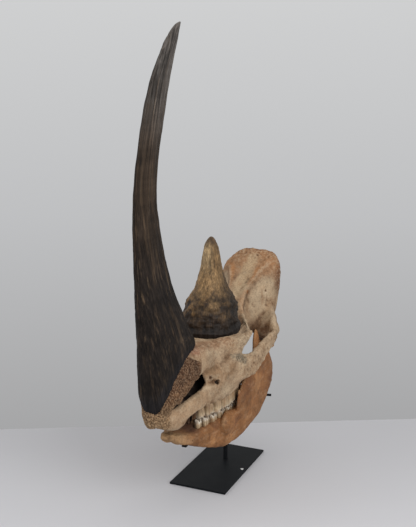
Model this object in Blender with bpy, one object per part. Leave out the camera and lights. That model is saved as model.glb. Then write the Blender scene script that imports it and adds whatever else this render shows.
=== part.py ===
"""Woolly rhinoceros skull with both horns and the lower jaw, held on a black metal stand.

The natural pieces are laid out in the skull's own frame: x runs forward from the rear crest to the nose,
y to the animal's left, z up from the biting plane of the upper teeth. Their stations are in millimetres.
An empty carries that frame and stands it over the base plate. World units are metres, +Z up, the origin
is the middle of the plate's underside and the nose points to -Y.
"""
import math

import bmesh
import bpy
from mathutils import Matrix, Vector

MM = 0.001

# Stand
PLATE_WIDTH = 0.178
PLATE_LENGTH = 0.328
PLATE_THICKNESS = 0.006
PLATE_EDGE = 0.0008
POST_DIAMETER = 0.0135
POST_BEHIND_CENTRE = 0.055
ROD_DIAMETER = 0.008
PRONG_DIAMETER = 0.0056
ARM_WIDTH = 0.014
ARM_DEPTH = 0.007
GAP = 0.0004

# Place of the skull's frame over the plate
SKULL_BEHIND_CENTRE = 0.291
SKULL_HEIGHT = 0.280
NOSE_DOWN = math.radians(1.9)

# Fineness of the grown pieces
BONE_VOXEL = 0.0055
CRANIUM_TRIANGLES = 3550
MANDIBLE_TRIANGLES = 1250
RING_SIDES = 28
BAR_SIDES = 16
HORN_SIDES = 24
TOOTH_SIDES = 8
ROD_SIDES = 12
POST_SIDES = 20

# Trunk of the cranium, from the rear crest to the frontal bones:
# x, bottom z, top z, half width low down, half width high up, squareness
TRUNK = (
    (-16, 150, 350, 56, 78, 3.2),
    (-4, 104, 365, 76, 107, 3.6),
    (14, 95, 363, 79, 109, 3.8),
    (34, 96, 349, 80, 102, 3.6),
    (60, 100, 323, 90, 80, 3.0),
    (95, 107, 292, 97, 50, 2.5),
    (134, 115, 266, 75, 34, 2.3),
    (200, 124, 236, 66, 44, 2.3),
    (232, 124, 227, 63, 57, 2.4),
    (270, 124, 217, 62, 76, 2.6),
    (315, 124, 210, 62, 98, 2.8),
    (352, 122, 207, 64, 110, 3.0),
    (400, 122, 204, 84, 106, 3.0),
    (440, 126, 203, 88, 90, 3.0),
)

# Nasal bones with the boss that carries the front horn, in the trunk's terms
NASALS = (
    (400, 130, 204, 92, 98, 3.0),
    (450, 132, 203, 92, 82, 3.0),
    (500, 128, 207, 86, 68, 3.0),
    (540, 122, 211, 74, 61, 3.0),
    (580, 116, 211, 66, 58, 3.0),
    (620, 104, 205, 62, 56, 3.0),
    (660, 92, 190, 57, 52, 3.0),
    (685, 76, 175, 51, 48, 3.0),
    (702, 64, 162, 46, 43, 3.0),
    (718, 50, 141, 40, 36, 2.8),
    (732, 41, 110, 31, 27, 2.6),
    (745, 43, 82, 17, 15, 2.4),
)

# Upper jaw around the tooth rows, in the trunk's terms
MAXILLA = (
    (288, 44, 112, 62, 48, 2.5),
    (304, 19, 122, 80, 62, 3.2),
    (324, 15, 131, 87, 76, 3.4),
    (346, 15, 144, 96, 92, 3.2),
    (366, 13, 154, 101, 104, 3.3),
    (385, 12, 160, 103, 116, 3.4),
    (408, 12, 180, 105, 119, 3.6),
    (430, 12, 178, 103, 113, 3.4),
    (465, 12, 154, 96, 98, 3.2),
    (500, 13, 142, 83, 89, 3.0),
    (532, 14, 122, 66, 72, 2.8),
    (556, 20, 90, 56, 58, 2.5),
)

# Bony partition behind the nostrils and the front of the muzzle, in the trunk's terms
SEPTUM = (
    (470, 40, 160, 9, 9, 4.0),
    (600, 34, 150, 9, 9, 4.0),
    (670, 24, 120, 14, 13, 3.0),
    (706, 30, 100, 24, 24, 2.6),
    (728, 40, 84, 18, 18, 2.4),
)

# Bars that lead from the upper jaw to the nose: x, y, z, half thickness, half height
PREMAXILLA = (
    (535, 52, 52, 16, 33),
    (570, 48, 56, 14, 27),
    (605, 45, 53, 13, 28),
    (638, 40, 45, 13, 35),
    (664, 34, 44, 14, 33),
    (690, 26, 48, 14, 28),
    (713, 14, 52, 12, 18),
)

# Cheek arch, front to rear: x, y, z, half thickness, half height
CHEEK_ARCH = (
    (440, 88, 106, 18, 38),
    (398, 112, 108, 15, 42),
    (352, 130, 103, 13, 36),
    (308, 141, 125, 12, 31),
    (258, 148, 142, 11, 26),
    (205, 149, 148, 11, 22),
    (165, 129, 160, 12, 22),
    (130, 116, 167, 12, 23),
    (98, 97, 170, 16, 26),
    (64, 80, 172, 16, 30),
    (38, 68, 174, 18, 32),
)

# Brow over the orbit, ending in its free point: x, y, z, half breadth, half height
BROW = (
    (450, 62, 182, 34, 22),
    (415, 92, 184, 32, 22),
    (388, 112, 188, 24, 18),
    (368, 127, 196, 11, 10),
    (361, 132, 198, 5, 5),
)

# Ridge that the jaw muscle left, from the crest's corner to the brow: x, y, z, radius
TEMPORAL_LINE = (
    (-2, 80, 330, 6),
    (22, 76, 336, 7),
    (48, 60, 322, 7),
    (92, 38, 286, 7),
    (134, 27, 262, 7),
    (196, 36, 230, 7),
    (232, 55, 214, 7),
    (272, 78, 205, 7),
    (320, 106, 199, 8),
    (366, 123, 197, 8),
)

# Pegs under the rear of the cranium and the joint knobs behind it: centre, half sizes
PAROCCIPITAL = (Vector((52, 64, 84)), Vector((15, 13, 34)))
OCCIPITAL_CONDYLE = (Vector((-8, 30, 104)), Vector((24, 21, 25)))
PTERYGOID = (Vector((270, 34, 98)), Vector((42, 8, 34)))

# Over and behind the jaw joint: a peg, and a shelf between the braincase and the rear of the cheek arch
POSTGLENOID = (Vector((103, 80, 102)), Vector((13, 22, 36)))
JOINT_SHELF = (Vector((106, 86, 132)), Vector((40, 44, 36)))

# Thickening where the cheek arch runs into the crest's edge
ARCH_ROOT = (Vector((98, 92, 156)), Vector((52, 20, 26)))

# Front rim of the orbit
ORBIT_RIM = (Vector((408, 103, 168)), Vector((22, 21, 27)))

# Rounded swellings of the cranium, the same on both sides
KNOBS = (PAROCCIPITAL, OCCIPITAL_CONDYLE, PTERYGOID, JOINT_SHELF, POSTGLENOID, ARCH_ROOT, ORBIT_RIM)

# Hollows of the cranium: centre, half sizes
BRAIN_HOLLOW = (Vector((112, 0, 158)), Vector((96, 44, 44)))
SPINAL_HOLE = (Vector((-20, 0, 132)), Vector((40, 20, 18)))
PALATE_HOLLOW = (Vector((402, 0, 2)), Vector((150, 42, 44)))
NOSTRIL_HOLLOW = (Vector((490, 33, 96)), Vector((86, 21, 42)))
NOSTRIL_SLIT = (Vector((556, 72, 106)), Vector((34, 32, 21)))
THROAT_HOLLOW = (Vector((300, 0, 62)), Vector((60, 26, 26)))
INFRAORBITAL_HOLE = (Vector((512, 78, 97)), Vector((26, 14, 9)))

# Lower jaw, one branch front to rear: x, y, z, half thickness, half height
JAW_BRANCH = (
    (647, 7, -19, 11, 10),
    (634, 11, -25, 15, 13),
    (616, 16, -35, 18, 16),
    (598, 21, -42, 19, 16),
    (577, 29, -49, 19, 19),
    (540, 40, -60, 20, 27),
    (490, 54, -71, 22, 38),
    (430, 67, -80, 24, 50),
    (370, 78, -80, 25, 52),
    (310, 86, -75, 24, 47),
    (250, 92, -64, 20, 45),
)

# Rear plate of the lower jaw, bottom to top: z, rear x, front x, y, half thickness
JAW_PLATE = (
    (-116, 238, 330, 89, 11),
    (-100, 198, 362, 94, 15),
    (-74, 151, 372, 98, 15),
    (-45, 113, 388, 101, 13),
    (-20, 100, 408, 103, 11),
    (0, 99, 408, 104, 10),
    (16, 101, 396, 105, 10),
    (32, 104, 372, 102, 11),
    (66, 116, 272, 95, 12),
    (92, 126, 220, 87, 12),
)
CORONOID = (
    (193, 87, 70, 10, 28),
    (184, 81, 102, 9, 23),
    (175, 76, 132, 7, 15),
    (169, 73, 149, 4, 6),
)
JAW_CONDYLE = (Vector((139, 97, 92)), Vector((16, 30, 13)))

# Floor that joins the two branches behind the chin
CHIN_FLOOR = (Vector((553, 0, -48)), Vector((50, 36, 20)))

# Front horn: rear edge x, z, front edge x, z, half thickness, rise of the section's middle, squareness
FRONT_HORN = (
    (503, 188, 736, 74, 46, 60, 2.2),
    (506, 203, 748, 106, 50, 50, 2.7),
    (518, 232, 757, 166, 49, 30, 2.7),
    (541, 268, 766, 238, 44, 14, 2.5),
    (572, 318, 774, 312, 39.5, 4, 2.3),
    (622, 407, 783, 407, 31, 0, 2.2),
    (658, 506, 787, 506, 24.5, 0, 2.2),
    (677, 579, 788, 579, 21.5, 0, 2.2),
    (685, 649, 779, 649, 19.5, 0, 2.2),
    (672, 717, 766, 717, 18.8, 0, 2.2),
    (650, 785, 742, 785, 18, 0, 2.2),
    (622, 852, 715, 856, 17, 0, 2.2),
    (594, 917, 678, 926, 15, 0, 2.2),
    (561, 974, 626, 986, 11.5, 0, 2.2),
    (536, 1015, 582, 1027, 8, 0, 2.2),
    (519, 1044, 545, 1051, 4.5, 0, 2.2),
    (510, 1058, 518, 1060, 1.5, 0, 2.2),
)

# Rear horn: z, middle x, half length, half width
REAR_HORN = (
    (172, 345, 84, 70),
    (196, 345, 92, 78),
    (213, 344, 96, 82),
    (240, 343, 94, 79),
    (268, 342, 89, 73),
    (293, 341, 79, 64),
    (312, 340, 63, 51),
    (332, 339, 53, 43),
    (356, 338, 45, 36),
    (388, 337, 36, 29),
    (420, 336, 29, 23.5),
    (448, 336, 20, 17),
    (463, 336, 11, 9),
    (469, 336, 3.5, 3),
)

# Cheek teeth, front to rear: name, x, y, half length, half width
UPPER_TEETH = (
    ("premolar_2", 525, 43, 12, 12),
    ("premolar_3", 497.5, 53, 14, 16),
    ("premolar_4", 465.5, 62, 16, 19),
    ("molar_1", 427.5, 69, 20, 20),
    ("molar_2", 382, 71, 23, 19),
    ("molar_3", 334.5, 69, 22, 17),
)
LOWER_TEETH = (
    ("premolar_2", 528, 37, 11, 8),
    ("premolar_3", 501, 46, 14, 10),
    ("premolar_4", 469.5, 54, 16, 12),
    ("molar_1", 432.5, 61, 19.5, 13),
    ("molar_2", 389.5, 67, 22, 14),
    ("molar_3", 343, 71, 23, 13),
)
# From the root in the bone to the worn end of the crown: z, share of the tooth's breadth
UPPER_CROWN = ((34, 0.86), (12, 0.95), (2, 1.0), (-7, 0.9))
LOWER_CROWN = ((-52, 0.86), (-31, 0.96), (-17, 1.0), (-9, 0.88))

# Rods of the stand, in the skull's frame
SADDLE = (Vector((236, 0, 116)), Vector((26, 20, 12)))
ARM_LEVEL = -91
ARM_FRONT = 546
PRONG_X = 495
PRONG_TOP = 58
CROSS_REACH = (150, 96, -78)
CLIP_TURN = ((170, 72), (150, 84), (132, 96), (128, 112))
CLIP_STRAIGHT = 0.030
CLIP_SET_BACK = 0.006


def clear_scene():
    for obj in list(bpy.data.objects):
        bpy.data.objects.remove(obj, do_unlink=True)


def make_material(name, colour, roughness, metallic=0.0):
    material = bpy.data.materials.new(name)
    material.use_nodes = True
    shader = material.node_tree.nodes["Principled BSDF"]
    shader.inputs["Base Color"].default_value = (*colour, 1.0)
    shader.inputs["Roughness"].default_value = roughness
    shader.inputs["Metallic"].default_value = metallic
    return material


def add_object(name, bm, material, parent=None):
    bmesh.ops.recalc_face_normals(bm, faces=bm.faces)
    mesh = bpy.data.meshes.new(name)
    bm.to_mesh(mesh)
    bm.free()
    obj = bpy.data.objects.new(name, mesh)
    bpy.context.collection.objects.link(obj)
    obj.data.materials.append(material)
    obj.parent = parent
    return obj


def hide_guide(obj):
    obj.hide_render = True
    obj.display_type = "WIRE"


def superellipse(angle, power):
    c, s = math.cos(angle), math.sin(angle)
    return (
        math.copysign(abs(c) ** (2.0 / power), c),
        math.copysign(abs(s) ** (2.0 / power), s),
    )


def ring(centre, side, up, half_side, half_up, power=2.0, sides=RING_SIDES, narrowing=0.0):
    """Closed ring of points; narrowing makes it slimmer high up and wider low down, as a share."""
    points = []
    for i in range(sides):
        across, rise = superellipse(2 * math.pi * i / sides, power)
        width = half_side * (1.0 - narrowing * rise)
        points.append((Vector(centre) + side * (across * width) + up * (rise * half_up)) * MM)
    return points


def close_end(bm, loop):
    """Closes a ring with strips across it, so that a bent end stays bent."""
    count = len(loop)
    for i in range(count // 2):
        corners = (loop[i], loop[i + 1], loop[count - i - 1], loop[(count - i) % count])
        bm.faces.new(dict.fromkeys(corners))


def loft(bm, rings):
    """Skins the rings in order and closes both ends."""
    loops = [[bm.verts.new(p) for p in points] for points in rings]
    for near, far in zip(loops, loops[1:]):
        for i in range(len(near)):
            j = (i + 1) % len(near)
            bm.faces.new((near[i], near[j], far[j], far[i]))
    close_end(bm, loops[0])
    close_end(bm, loops[-1])


def trunk_loft(bm, stations):
    """Upright sections across x: bottom z, top z, half width low and high, squareness."""
    rings = []
    for x, low, high, wide_low, wide_high, power in stations:
        half_width = (wide_low + wide_high) / 2
        narrowing = (wide_low - wide_high) / (wide_low + wide_high)
        centre = (x, 0, (low + high) / 2)
        rings.append(ring(centre, Vector((0, 1, 0)), Vector((0, 0, 1)), half_width, (high - low) / 2,
                          power, narrowing=narrowing))
    loft(bm, rings)


def path_loft(bm, stations, mirror_y, power=2.4):
    """Sections square to a path: x, y, z, half thickness, half height (thickness if it is round)."""
    centres = [Vector((s[0], s[1] * mirror_y, s[2])) for s in stations]
    rings = []
    for i, station in enumerate(stations):
        before = centres[max(i - 1, 0)]
        after = centres[min(i + 1, len(centres) - 1)]
        along = (after - before).normalized()
        side = along.cross(Vector((0, 0, 1))).normalized()
        up = side.cross(along).normalized()
        rings.append(ring(centres[i], side, up, station[3], station[-1], power, BAR_SIDES))
    loft(bm, rings)


def plate_loft(bm, stations, mirror_y):
    """Level sections: z, rear x, front x, y, half thickness."""
    rings = []
    for z, rear, front, y, half in stations:
        centre = ((rear + front) / 2, y * mirror_y, z)
        rings.append(ring(centre, Vector((1, 0, 0)), Vector((0, 1, 0)), (front - rear) / 2, half, 2.6))
    loft(bm, rings)


def coronoid_loft(bm, mirror_y):
    rings = []
    for x, y, z, half_y, half_x in CORONOID:
        centre = (x, y * mirror_y, z)
        rings.append(ring(centre, Vector((1, 0, 0)), Vector((0, 1, 0)), half_x, half_y, 2.2, BAR_SIDES))
    loft(bm, rings)


def ellipsoid(bm, centre, half, mirror_y=1):
    where = Matrix.Translation(Vector((centre.x, centre.y * mirror_y, centre.z)) * MM)
    size = Matrix.Diagonal((half.x * MM, half.y * MM, half.z * MM, 1.0))
    bmesh.ops.create_icosphere(bm, subdivisions=3, radius=1.0, matrix=where @ size)


def grown_surface(obj, passes):
    """Fuses the overlapping forms of one bone into one skin and softens it."""
    remesh = obj.modifiers.new("fuse", "REMESH")
    remesh.mode = "VOXEL"
    remesh.voxel_size = BONE_VOXEL
    smooth = obj.modifiers.new("soften", "SMOOTH")
    smooth.factor = 0.5
    smooth.iterations = passes


def cut_with(obj, cutter, name):
    boolean = obj.modifiers.new(name, "BOOLEAN")
    boolean.operation = "DIFFERENCE"
    boolean.solver = "EXACT"
    boolean.object = cutter


def evaluated_mesh(obj):
    bpy.context.view_layer.update()
    graph = bpy.context.evaluated_depsgraph_get()
    return bpy.data.meshes.new_from_object(obj.evaluated_get(graph))


def thin_out(obj, triangles):
    """Brings the fused skin down to its number of flat faces."""
    count = sum(len(p.vertices) - 2 for p in evaluated_mesh(obj).polygons)
    decimate = obj.modifiers.new("thin_out", "DECIMATE")
    decimate.ratio = triangles / count
    decimate.use_collapse_triangulate = True


def clearance_guide(source, name, material, parent, distance):
    """A copy of a finished bone, swollen by the gap that its neighbours keep."""
    mesh = evaluated_mesh(source)
    bm = bmesh.new()
    bm.from_mesh(mesh)
    bmesh.ops.remove_doubles(bm, verts=bm.verts, dist=1e-6)
    bm.normal_update()
    offsets = [v.normal * distance for v in bm.verts]
    for vert, offset in zip(bm.verts, offsets):
        vert.co += offset
    guide = add_object(name, bm, material, parent)
    hide_guide(guide)
    return guide


def tooth_rings(tooth, crown, mirror_y, growth=0.0):
    _, x, y, half_length, half_width = tooth
    rings = []
    for i, (z, share) in enumerate(crown):
        # the root end of a socket also goes a little deeper
        depth = growth * (1 if z > crown[-1][0] else -1) if i == 0 else 0.0
        last = -growth * (1 if crown[0][0] > crown[-1][0] else -1) if i == len(crown) - 1 else 0.0
        rings.append(ring((x, y * mirror_y, z + depth + last), Vector((1, 0, 0)), Vector((0, 1, 0)),
                          half_length * share + growth, half_width * share + growth, 4.0, TOOTH_SIDES))
    return rings


def tooth_row(prefix, teeth, crown, material, parent):
    """Both sides of one row, each tooth its own solid. Returns the tool that cuts their sockets."""
    sockets = bmesh.new()
    for side, mirror_y in (("left", 1), ("right", -1)):
        for tooth in teeth:
            bm = bmesh.new()
            loft(bm, tooth_rings(tooth, crown, mirror_y))
            add_object(f"{prefix}_{tooth[0]}_{side}", bm, material, parent)
            loft(sockets, tooth_rings(tooth, crown, mirror_y, GAP / MM))
    cutter = add_object(f"{prefix}_sockets", sockets, material, parent)
    hide_guide(cutter)
    return cutter


def make_cranium(bone, frame):
    bm = bmesh.new()
    trunk_loft(bm, TRUNK)
    trunk_loft(bm, NASALS)
    trunk_loft(bm, MAXILLA)
    for mirror_y in (1, -1):
        path_loft(bm, CHEEK_ARCH, mirror_y)
        path_loft(bm, BROW, mirror_y)
        path_loft(bm, TEMPORAL_LINE, mirror_y, 2.0)
        for centre, half in KNOBS:
            ellipsoid(bm, centre, half, mirror_y)
    trunk = add_object("cranium", bm, bone, frame)
    grown_surface(trunk, 4)

    hollows = bmesh.new()
    for centre, half in (BRAIN_HOLLOW, SPINAL_HOLE, PALATE_HOLLOW, THROAT_HOLLOW):
        ellipsoid(hollows, centre, half)
    for mirror_y in (1, -1):
        ellipsoid(hollows, *NOSTRIL_HOLLOW, mirror_y)
        ellipsoid(hollows, *NOSTRIL_SLIT, mirror_y)
        ellipsoid(hollows, *INFRAORBITAL_HOLE, mirror_y)
    tool = add_object("cranium_hollows", hollows, bone, frame)
    fuse = tool.modifiers.new("fuse", "REMESH")
    fuse.mode = "VOXEL"
    fuse.voxel_size = BONE_VOXEL
    hide_guide(tool)
    cut_with(trunk, tool, "hollows")

    # the muzzle's partition and bars are fused after the hollows are cut, so that they stay whole
    muzzle = bmesh.new()
    trunk_loft(muzzle, SEPTUM)
    for mirror_y in (1, -1):
        path_loft(muzzle, PREMAXILLA, mirror_y)
    bars = add_object("muzzle_bars", muzzle, bone, frame)
    grown_surface(bars, 2)
    hide_guide(bars)
    union = trunk.modifiers.new("muzzle", "BOOLEAN")
    union.operation = "UNION"
    union.solver = "EXACT"
    union.object = bars
    grown_surface(trunk, 2)
    thin_out(trunk, CRANIUM_TRIANGLES)
    return trunk


def make_mandible(bone, frame):
    bm = bmesh.new()
    for mirror_y in (1, -1):
        path_loft(bm, JAW_BRANCH, mirror_y, 2.6)
        plate_loft(bm, JAW_PLATE, mirror_y)
        coronoid_loft(bm, mirror_y)
        ellipsoid(bm, *JAW_CONDYLE, mirror_y)
    ellipsoid(bm, *CHIN_FLOOR)
    jaw = add_object("mandible", bm, bone, frame)
    grown_surface(jaw, 3)
    thin_out(jaw, MANDIBLE_TRIANGLES)
    return jaw


def make_front_horn(horn, frame, seat):
    bm = bmesh.new()
    rings = []
    for rear_x, rear_z, front_x, front_z, half, rise, power in FRONT_HORN:
        rear = Vector((rear_x, 0, rear_z))
        front = Vector((front_x, 0, front_z))
        reach = (front - rear).length / 2
        along = (front - rear).normalized()
        away = along.cross(Vector((0, 1, 0)))
        points = ring((rear + front) / 2, along, Vector((0, 1, 0)), reach, half, power, HORN_SIDES)
        for i, point in enumerate(points):
            across, _ = superellipse(2 * math.pi * i / HORN_SIDES, power)
            points[i] = point + away * (rise * MM * (1 - across * across))
        rings.append(points)
    loft(bm, rings)
    obj = add_object("front_horn", bm, horn, frame)
    cut_with(obj, seat, "seat_on_boss")
    return obj


def make_rear_horn(horn, frame, seat):
    bm = bmesh.new()
    rings = []
    for z, x, half_length, half_width in REAR_HORN:
        rings.append(ring((x, 0, z), Vector((1, 0, 0)), Vector((0, 1, 0)), half_length, half_width,
                          2.0, HORN_SIDES))
    loft(bm, rings)
    obj = add_object("rear_horn", bm, horn, frame)
    cut_with(obj, seat, "seat_on_brow")
    return obj


def rod_between(bm, start, end, diameter, sides=ROD_SIDES):
    along = Vector(end) - Vector(start)
    middle = (Vector(start) + Vector(end)) / 2
    turn = along.to_track_quat("Z", "Y").to_matrix().to_4x4()
    bmesh.ops.create_cone(bm, cap_ends=True, segments=sides, radius1=diameter / 2, radius2=diameter / 2,
                          depth=along.length, matrix=Matrix.Translation(middle) @ turn)


def skull_point(frame, x, y, z):
    return frame.matrix_world @ (Vector((x, y, z)) * MM)


def make_base_plate(metal):
    bm = bmesh.new()
    size = Matrix.Diagonal((PLATE_WIDTH, PLATE_LENGTH, PLATE_THICKNESS, 1.0))
    bmesh.ops.create_cube(bm, size=1.0, matrix=Matrix.Translation((0, 0, PLATE_THICKNESS / 2)) @ size)
    bmesh.ops.bevel(bm, geom=bm.edges[:], offset=PLATE_EDGE, segments=1, affect="EDGES")
    return add_object("base_plate", bm, metal)


def make_stand(metal, frame, cranium_guide, jaw_guide):
    make_base_plate(metal)
    saddle_centre, saddle_half = SADDLE
    saddle_low = skull_point(frame, saddle_centre.x, 0, saddle_centre.z - saddle_half.z)
    post_foot = Vector((0, POST_BEHIND_CENTRE, PLATE_THICKNESS + GAP))
    post_top = Vector((0, POST_BEHIND_CENTRE, saddle_low.z - GAP))
    bm = bmesh.new()
    rod_between(bm, post_foot, post_top, POST_DIAMETER, POST_SIDES)
    post = add_object("post", bm, metal)
    post.data.shade_smooth()

    bm = bmesh.new()
    middle = Vector((0, POST_BEHIND_CENTRE, saddle_low.z + saddle_half.z * MM))
    size = Matrix.Diagonal((saddle_half.y * 2 * MM, saddle_half.x * 2 * MM, saddle_half.z * 2 * MM, 1.0))
    bmesh.ops.create_cube(bm, size=1.0, matrix=Matrix.Translation(middle) @ size)
    saddle = add_object("saddle", bm, metal)
    cut_with(saddle, cranium_guide, "seat_under_bone")

    level = skull_point(frame, ARM_FRONT, 0, ARM_LEVEL)
    arm_rear = POST_BEHIND_CENTRE - POST_DIAMETER / 2 - GAP
    arm_length = arm_rear - level.y
    bm = bmesh.new()
    size = Matrix.Diagonal((ARM_WIDTH, arm_length, ARM_DEPTH, 1.0))
    middle = Vector((0, (arm_rear + level.y) / 2, level.z))
    bmesh.ops.create_cube(bm, size=1.0, matrix=Matrix.Translation(middle) @ size)
    bmesh.ops.bevel(bm, geom=bm.edges[:], offset=PLATE_EDGE, segments=1, affect="EDGES")
    arm = add_object("front_arm", bm, metal)
    cut_with(arm, jaw_guide, "seat_under_chin")

    prong_foot = skull_point(frame, PRONG_X, 0, 0)
    prong_head = skull_point(frame, PRONG_X, 0, PRONG_TOP)
    bm = bmesh.new()
    rod_between(bm, Vector((0, prong_foot.y, level.z + ARM_DEPTH / 2 + GAP)),
                Vector((0, prong_foot.y, prong_head.z)), PRONG_DIAMETER)
    prong = add_object("palate_prong", bm, metal)
    cut_with(prong, cranium_guide, "seat_under_palate")

    make_cross_bars(metal, frame, jaw_guide)


def make_cross_bars(metal, frame, jaw_guide):
    """A bent rod on each side runs from the post to a clip behind the angle of the lower jaw."""
    height = skull_point(frame, *CROSS_REACH).z
    for side, sign in (("left", 1), ("right", -1)):
        start = Vector((sign * (POST_DIAMETER / 2 + GAP), POST_BEHIND_CENTRE, height))
        route = [start, Vector((sign * CLIP_STRAIGHT, POST_BEHIND_CENTRE + CLIP_SET_BACK, height))]
        for x, y in CLIP_TURN:
            route.append(Vector((sign * y * MM, skull_point(frame, x, 0, 0).y, height)))
        bm = bmesh.new()
        rings = []
        for i, point in enumerate(route):
            before = route[max(i - 1, 0)]
            after = route[min(i + 1, len(route) - 1)]
            along = (after - before).normalized() if i else Vector((sign, 0, 0))
            across = along.cross(Vector((0, 0, 1))).normalized()
            radius = ROD_DIAMETER / 2 / MM
            rings.append(ring(point / MM, across, Vector((0, 0, 1)), radius, radius, 2.0, ROD_SIDES))
        loft(bm, rings)
        rod = add_object(f"jaw_clip_{side}", bm, metal)
        cut_with(rod, jaw_guide, "seat_on_jaw")


def main():
    clear_scene()
    bone = make_material("cranium_bone", (0.45, 0.33, 0.22), 0.75)
    jaw_bone = make_material("mandible_bone", (0.30, 0.15, 0.075), 0.7)
    enamel = make_material("enamel", (0.62, 0.54, 0.42), 0.45)
    dark_horn = make_material("front_horn", (0.035, 0.024, 0.018), 0.6)
    pale_horn = make_material("rear_horn", (0.13, 0.085, 0.05), 0.6)
    metal = make_material("black_metal", (0.012, 0.013, 0.015), 0.45, 0.0)

    frame = bpy.data.objects.new("skull_frame", None)
    bpy.context.collection.objects.link(frame)
    frame.location = (0, SKULL_BEHIND_CENTRE, SKULL_HEIGHT)
    turn = Matrix.Rotation(NOSE_DOWN, 4, "X") @ Matrix.Rotation(-math.pi / 2, 4, "Z")
    frame.rotation_euler = turn.to_euler()
    bpy.context.view_layer.update()

    cranium = make_cranium(bone, frame)
    mandible = make_mandible(jaw_bone, frame)
    cranium_guide = clearance_guide(cranium, "cranium_clearance", bone, frame, GAP)
    jaw_guide = clearance_guide(mandible, "mandible_clearance", jaw_bone, frame, GAP)
    make_front_horn(dark_horn, frame, cranium_guide)
    make_rear_horn(pale_horn, frame, cranium_guide)
    cut_with(cranium, tooth_row("upper", UPPER_TEETH, UPPER_CROWN, enamel, frame), "sockets")
    cut_with(mandible, tooth_row("lower", LOWER_TEETH, LOWER_CROWN, enamel, frame), "sockets")
    make_stand(metal, frame, cranium_guide, jaw_guide)


main()
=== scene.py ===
"""Looks of a woolly rhinoceros skull with both horns and the lower jaw, on a black stand.

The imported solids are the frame. Bones are finer copies of their solids, worked over with relief; horns and
teeth are built anew on the same sections. All relief and colour follow the skull's own frame in millimetres:
x forward from the rear crest to the nose, y to the animal's left, z up from the upper biting plane.
"""

import math

import bmesh
import bpy
import numpy as np
from bpy.props import FloatProperty, FloatVectorProperty, IntProperty, PointerProperty
from mathutils import Matrix, Vector


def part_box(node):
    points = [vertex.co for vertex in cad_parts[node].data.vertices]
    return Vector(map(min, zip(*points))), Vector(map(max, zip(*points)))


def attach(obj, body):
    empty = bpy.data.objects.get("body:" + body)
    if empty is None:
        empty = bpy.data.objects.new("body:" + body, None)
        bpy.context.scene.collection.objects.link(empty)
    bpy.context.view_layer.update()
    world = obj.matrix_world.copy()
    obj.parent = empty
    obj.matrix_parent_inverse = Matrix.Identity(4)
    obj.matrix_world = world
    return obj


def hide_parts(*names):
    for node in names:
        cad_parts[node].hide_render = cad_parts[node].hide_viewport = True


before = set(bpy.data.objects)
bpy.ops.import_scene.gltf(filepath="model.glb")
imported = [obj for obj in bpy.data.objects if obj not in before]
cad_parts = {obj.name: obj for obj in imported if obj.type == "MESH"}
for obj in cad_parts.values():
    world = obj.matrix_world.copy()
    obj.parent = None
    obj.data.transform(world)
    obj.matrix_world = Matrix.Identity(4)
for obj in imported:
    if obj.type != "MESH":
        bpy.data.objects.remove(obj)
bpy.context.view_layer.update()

bl_info = {
    "name": "Mounted rhinoceros skull looks",
    "version": (1, 0, 0),
    "blender": (4, 5, 0),
    "location": "View3D > Sidebar > Skull",
    "description": "Dresses the solids of a mounted skull with bone, enamel, horn, black metal and a studio",
    "category": "Mesh",
}

MM = 0.001

# The skull's frame over the base plate
SKULL_BEHIND_CENTRE = 0.291
SKULL_HEIGHT = 0.280
NOSE_DOWN = math.radians(1.9)

# The photograph's camera
CAMERA_PLACE = (0.9767, -2.3168, 1.179)
CAMERA_TURN = math.radians(23.61)
CAMERA_DOWN = math.radians(11.96)
CAMERA_LENS = 59.43
SENSOR_WIDTH = 36.0

# The stage: floor corners as metres sideways and forward of the camera, the reach of the floor's painted far
# shade, and the lights
FLOOR_CORNERS = ((-4.0, 2.60), (4.0, 3.12), (4.0, -3.0), (-4.0, -3.0))
FLOOR_FADE = (2.15, 2.85)
FLOOR_GAP = 0.0005
SOFT_LIGHTS = (
    ("large_soft_light", (2.2, -1.7, 2.1), (0, 0, 0.5), 44.0, 1.5),
    ("left_soft_light", (-2.4, -1.6, 2.0), (0, 0, 0.5), 12.0, 1.8),
    ("top_soft_light", (0.2, 0.4, 3.2), (0, 0, 0.4), 8.0, 1.6),
)

# The small pale spot on the base plate
SPOT_PLACE = (0.0762, 0.004)
SPOT_TURN = 0.5
SPOT_GAP = 0.00015
SPOT_THICKNESS = 0.0003

# Front horn: rear edge x, z, front edge x, z, half thickness, rise of the section's middle, squareness
FRONT_HORN = np.array((
    (503, 188, 736, 74, 46, 60, 2.2),
    (506, 203, 748, 106, 50, 50, 2.7),
    (518, 232, 757, 166, 49, 30, 2.7),
    (541, 268, 766, 238, 44, 14, 2.5),
    (572, 318, 774, 312, 39.5, 4, 2.3),
    (622, 407, 783, 407, 31, 0, 2.2),
    (658, 506, 787, 506, 24.5, 0, 2.2),
    (677, 579, 788, 579, 21.5, 0, 2.2),
    (685, 649, 779, 649, 19.5, 0, 2.2),
    (672, 717, 766, 717, 18.8, 0, 2.2),
    (650, 785, 742, 785, 18, 0, 2.2),
    (622, 852, 715, 856, 17, 0, 2.2),
    (594, 917, 678, 926, 15, 0, 2.2),
    (561, 974, 626, 986, 11.5, 0, 2.2),
    (536, 1015, 582, 1027, 8, 0, 2.2),
    (519, 1044, 545, 1051, 4.5, 0, 2.2),
    (510, 1058, 518, 1060, 1.5, 0, 2.2),
), dtype=float)

# Rear horn: z, middle x, half length, half width
REAR_HORN = np.array((
    (186, 345, 94, 79),
    (196, 345, 98, 84),
    (206, 345, 98, 83.5),
    (220, 343.5, 95.5, 81),
    (240, 343, 93, 78),
    (268, 342, 88, 72),
    (293, 341, 79, 64),
    (312, 340, 63, 51),
    (332, 339, 53, 43),
    (356, 338, 45, 36),
    (388, 337, 36, 29),
    (420, 336, 29, 23.5),
    (448, 336, 20, 17),
    (463, 336, 11, 9),
    (468.5, 336, 3.5, 3),
), dtype=float)

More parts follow.
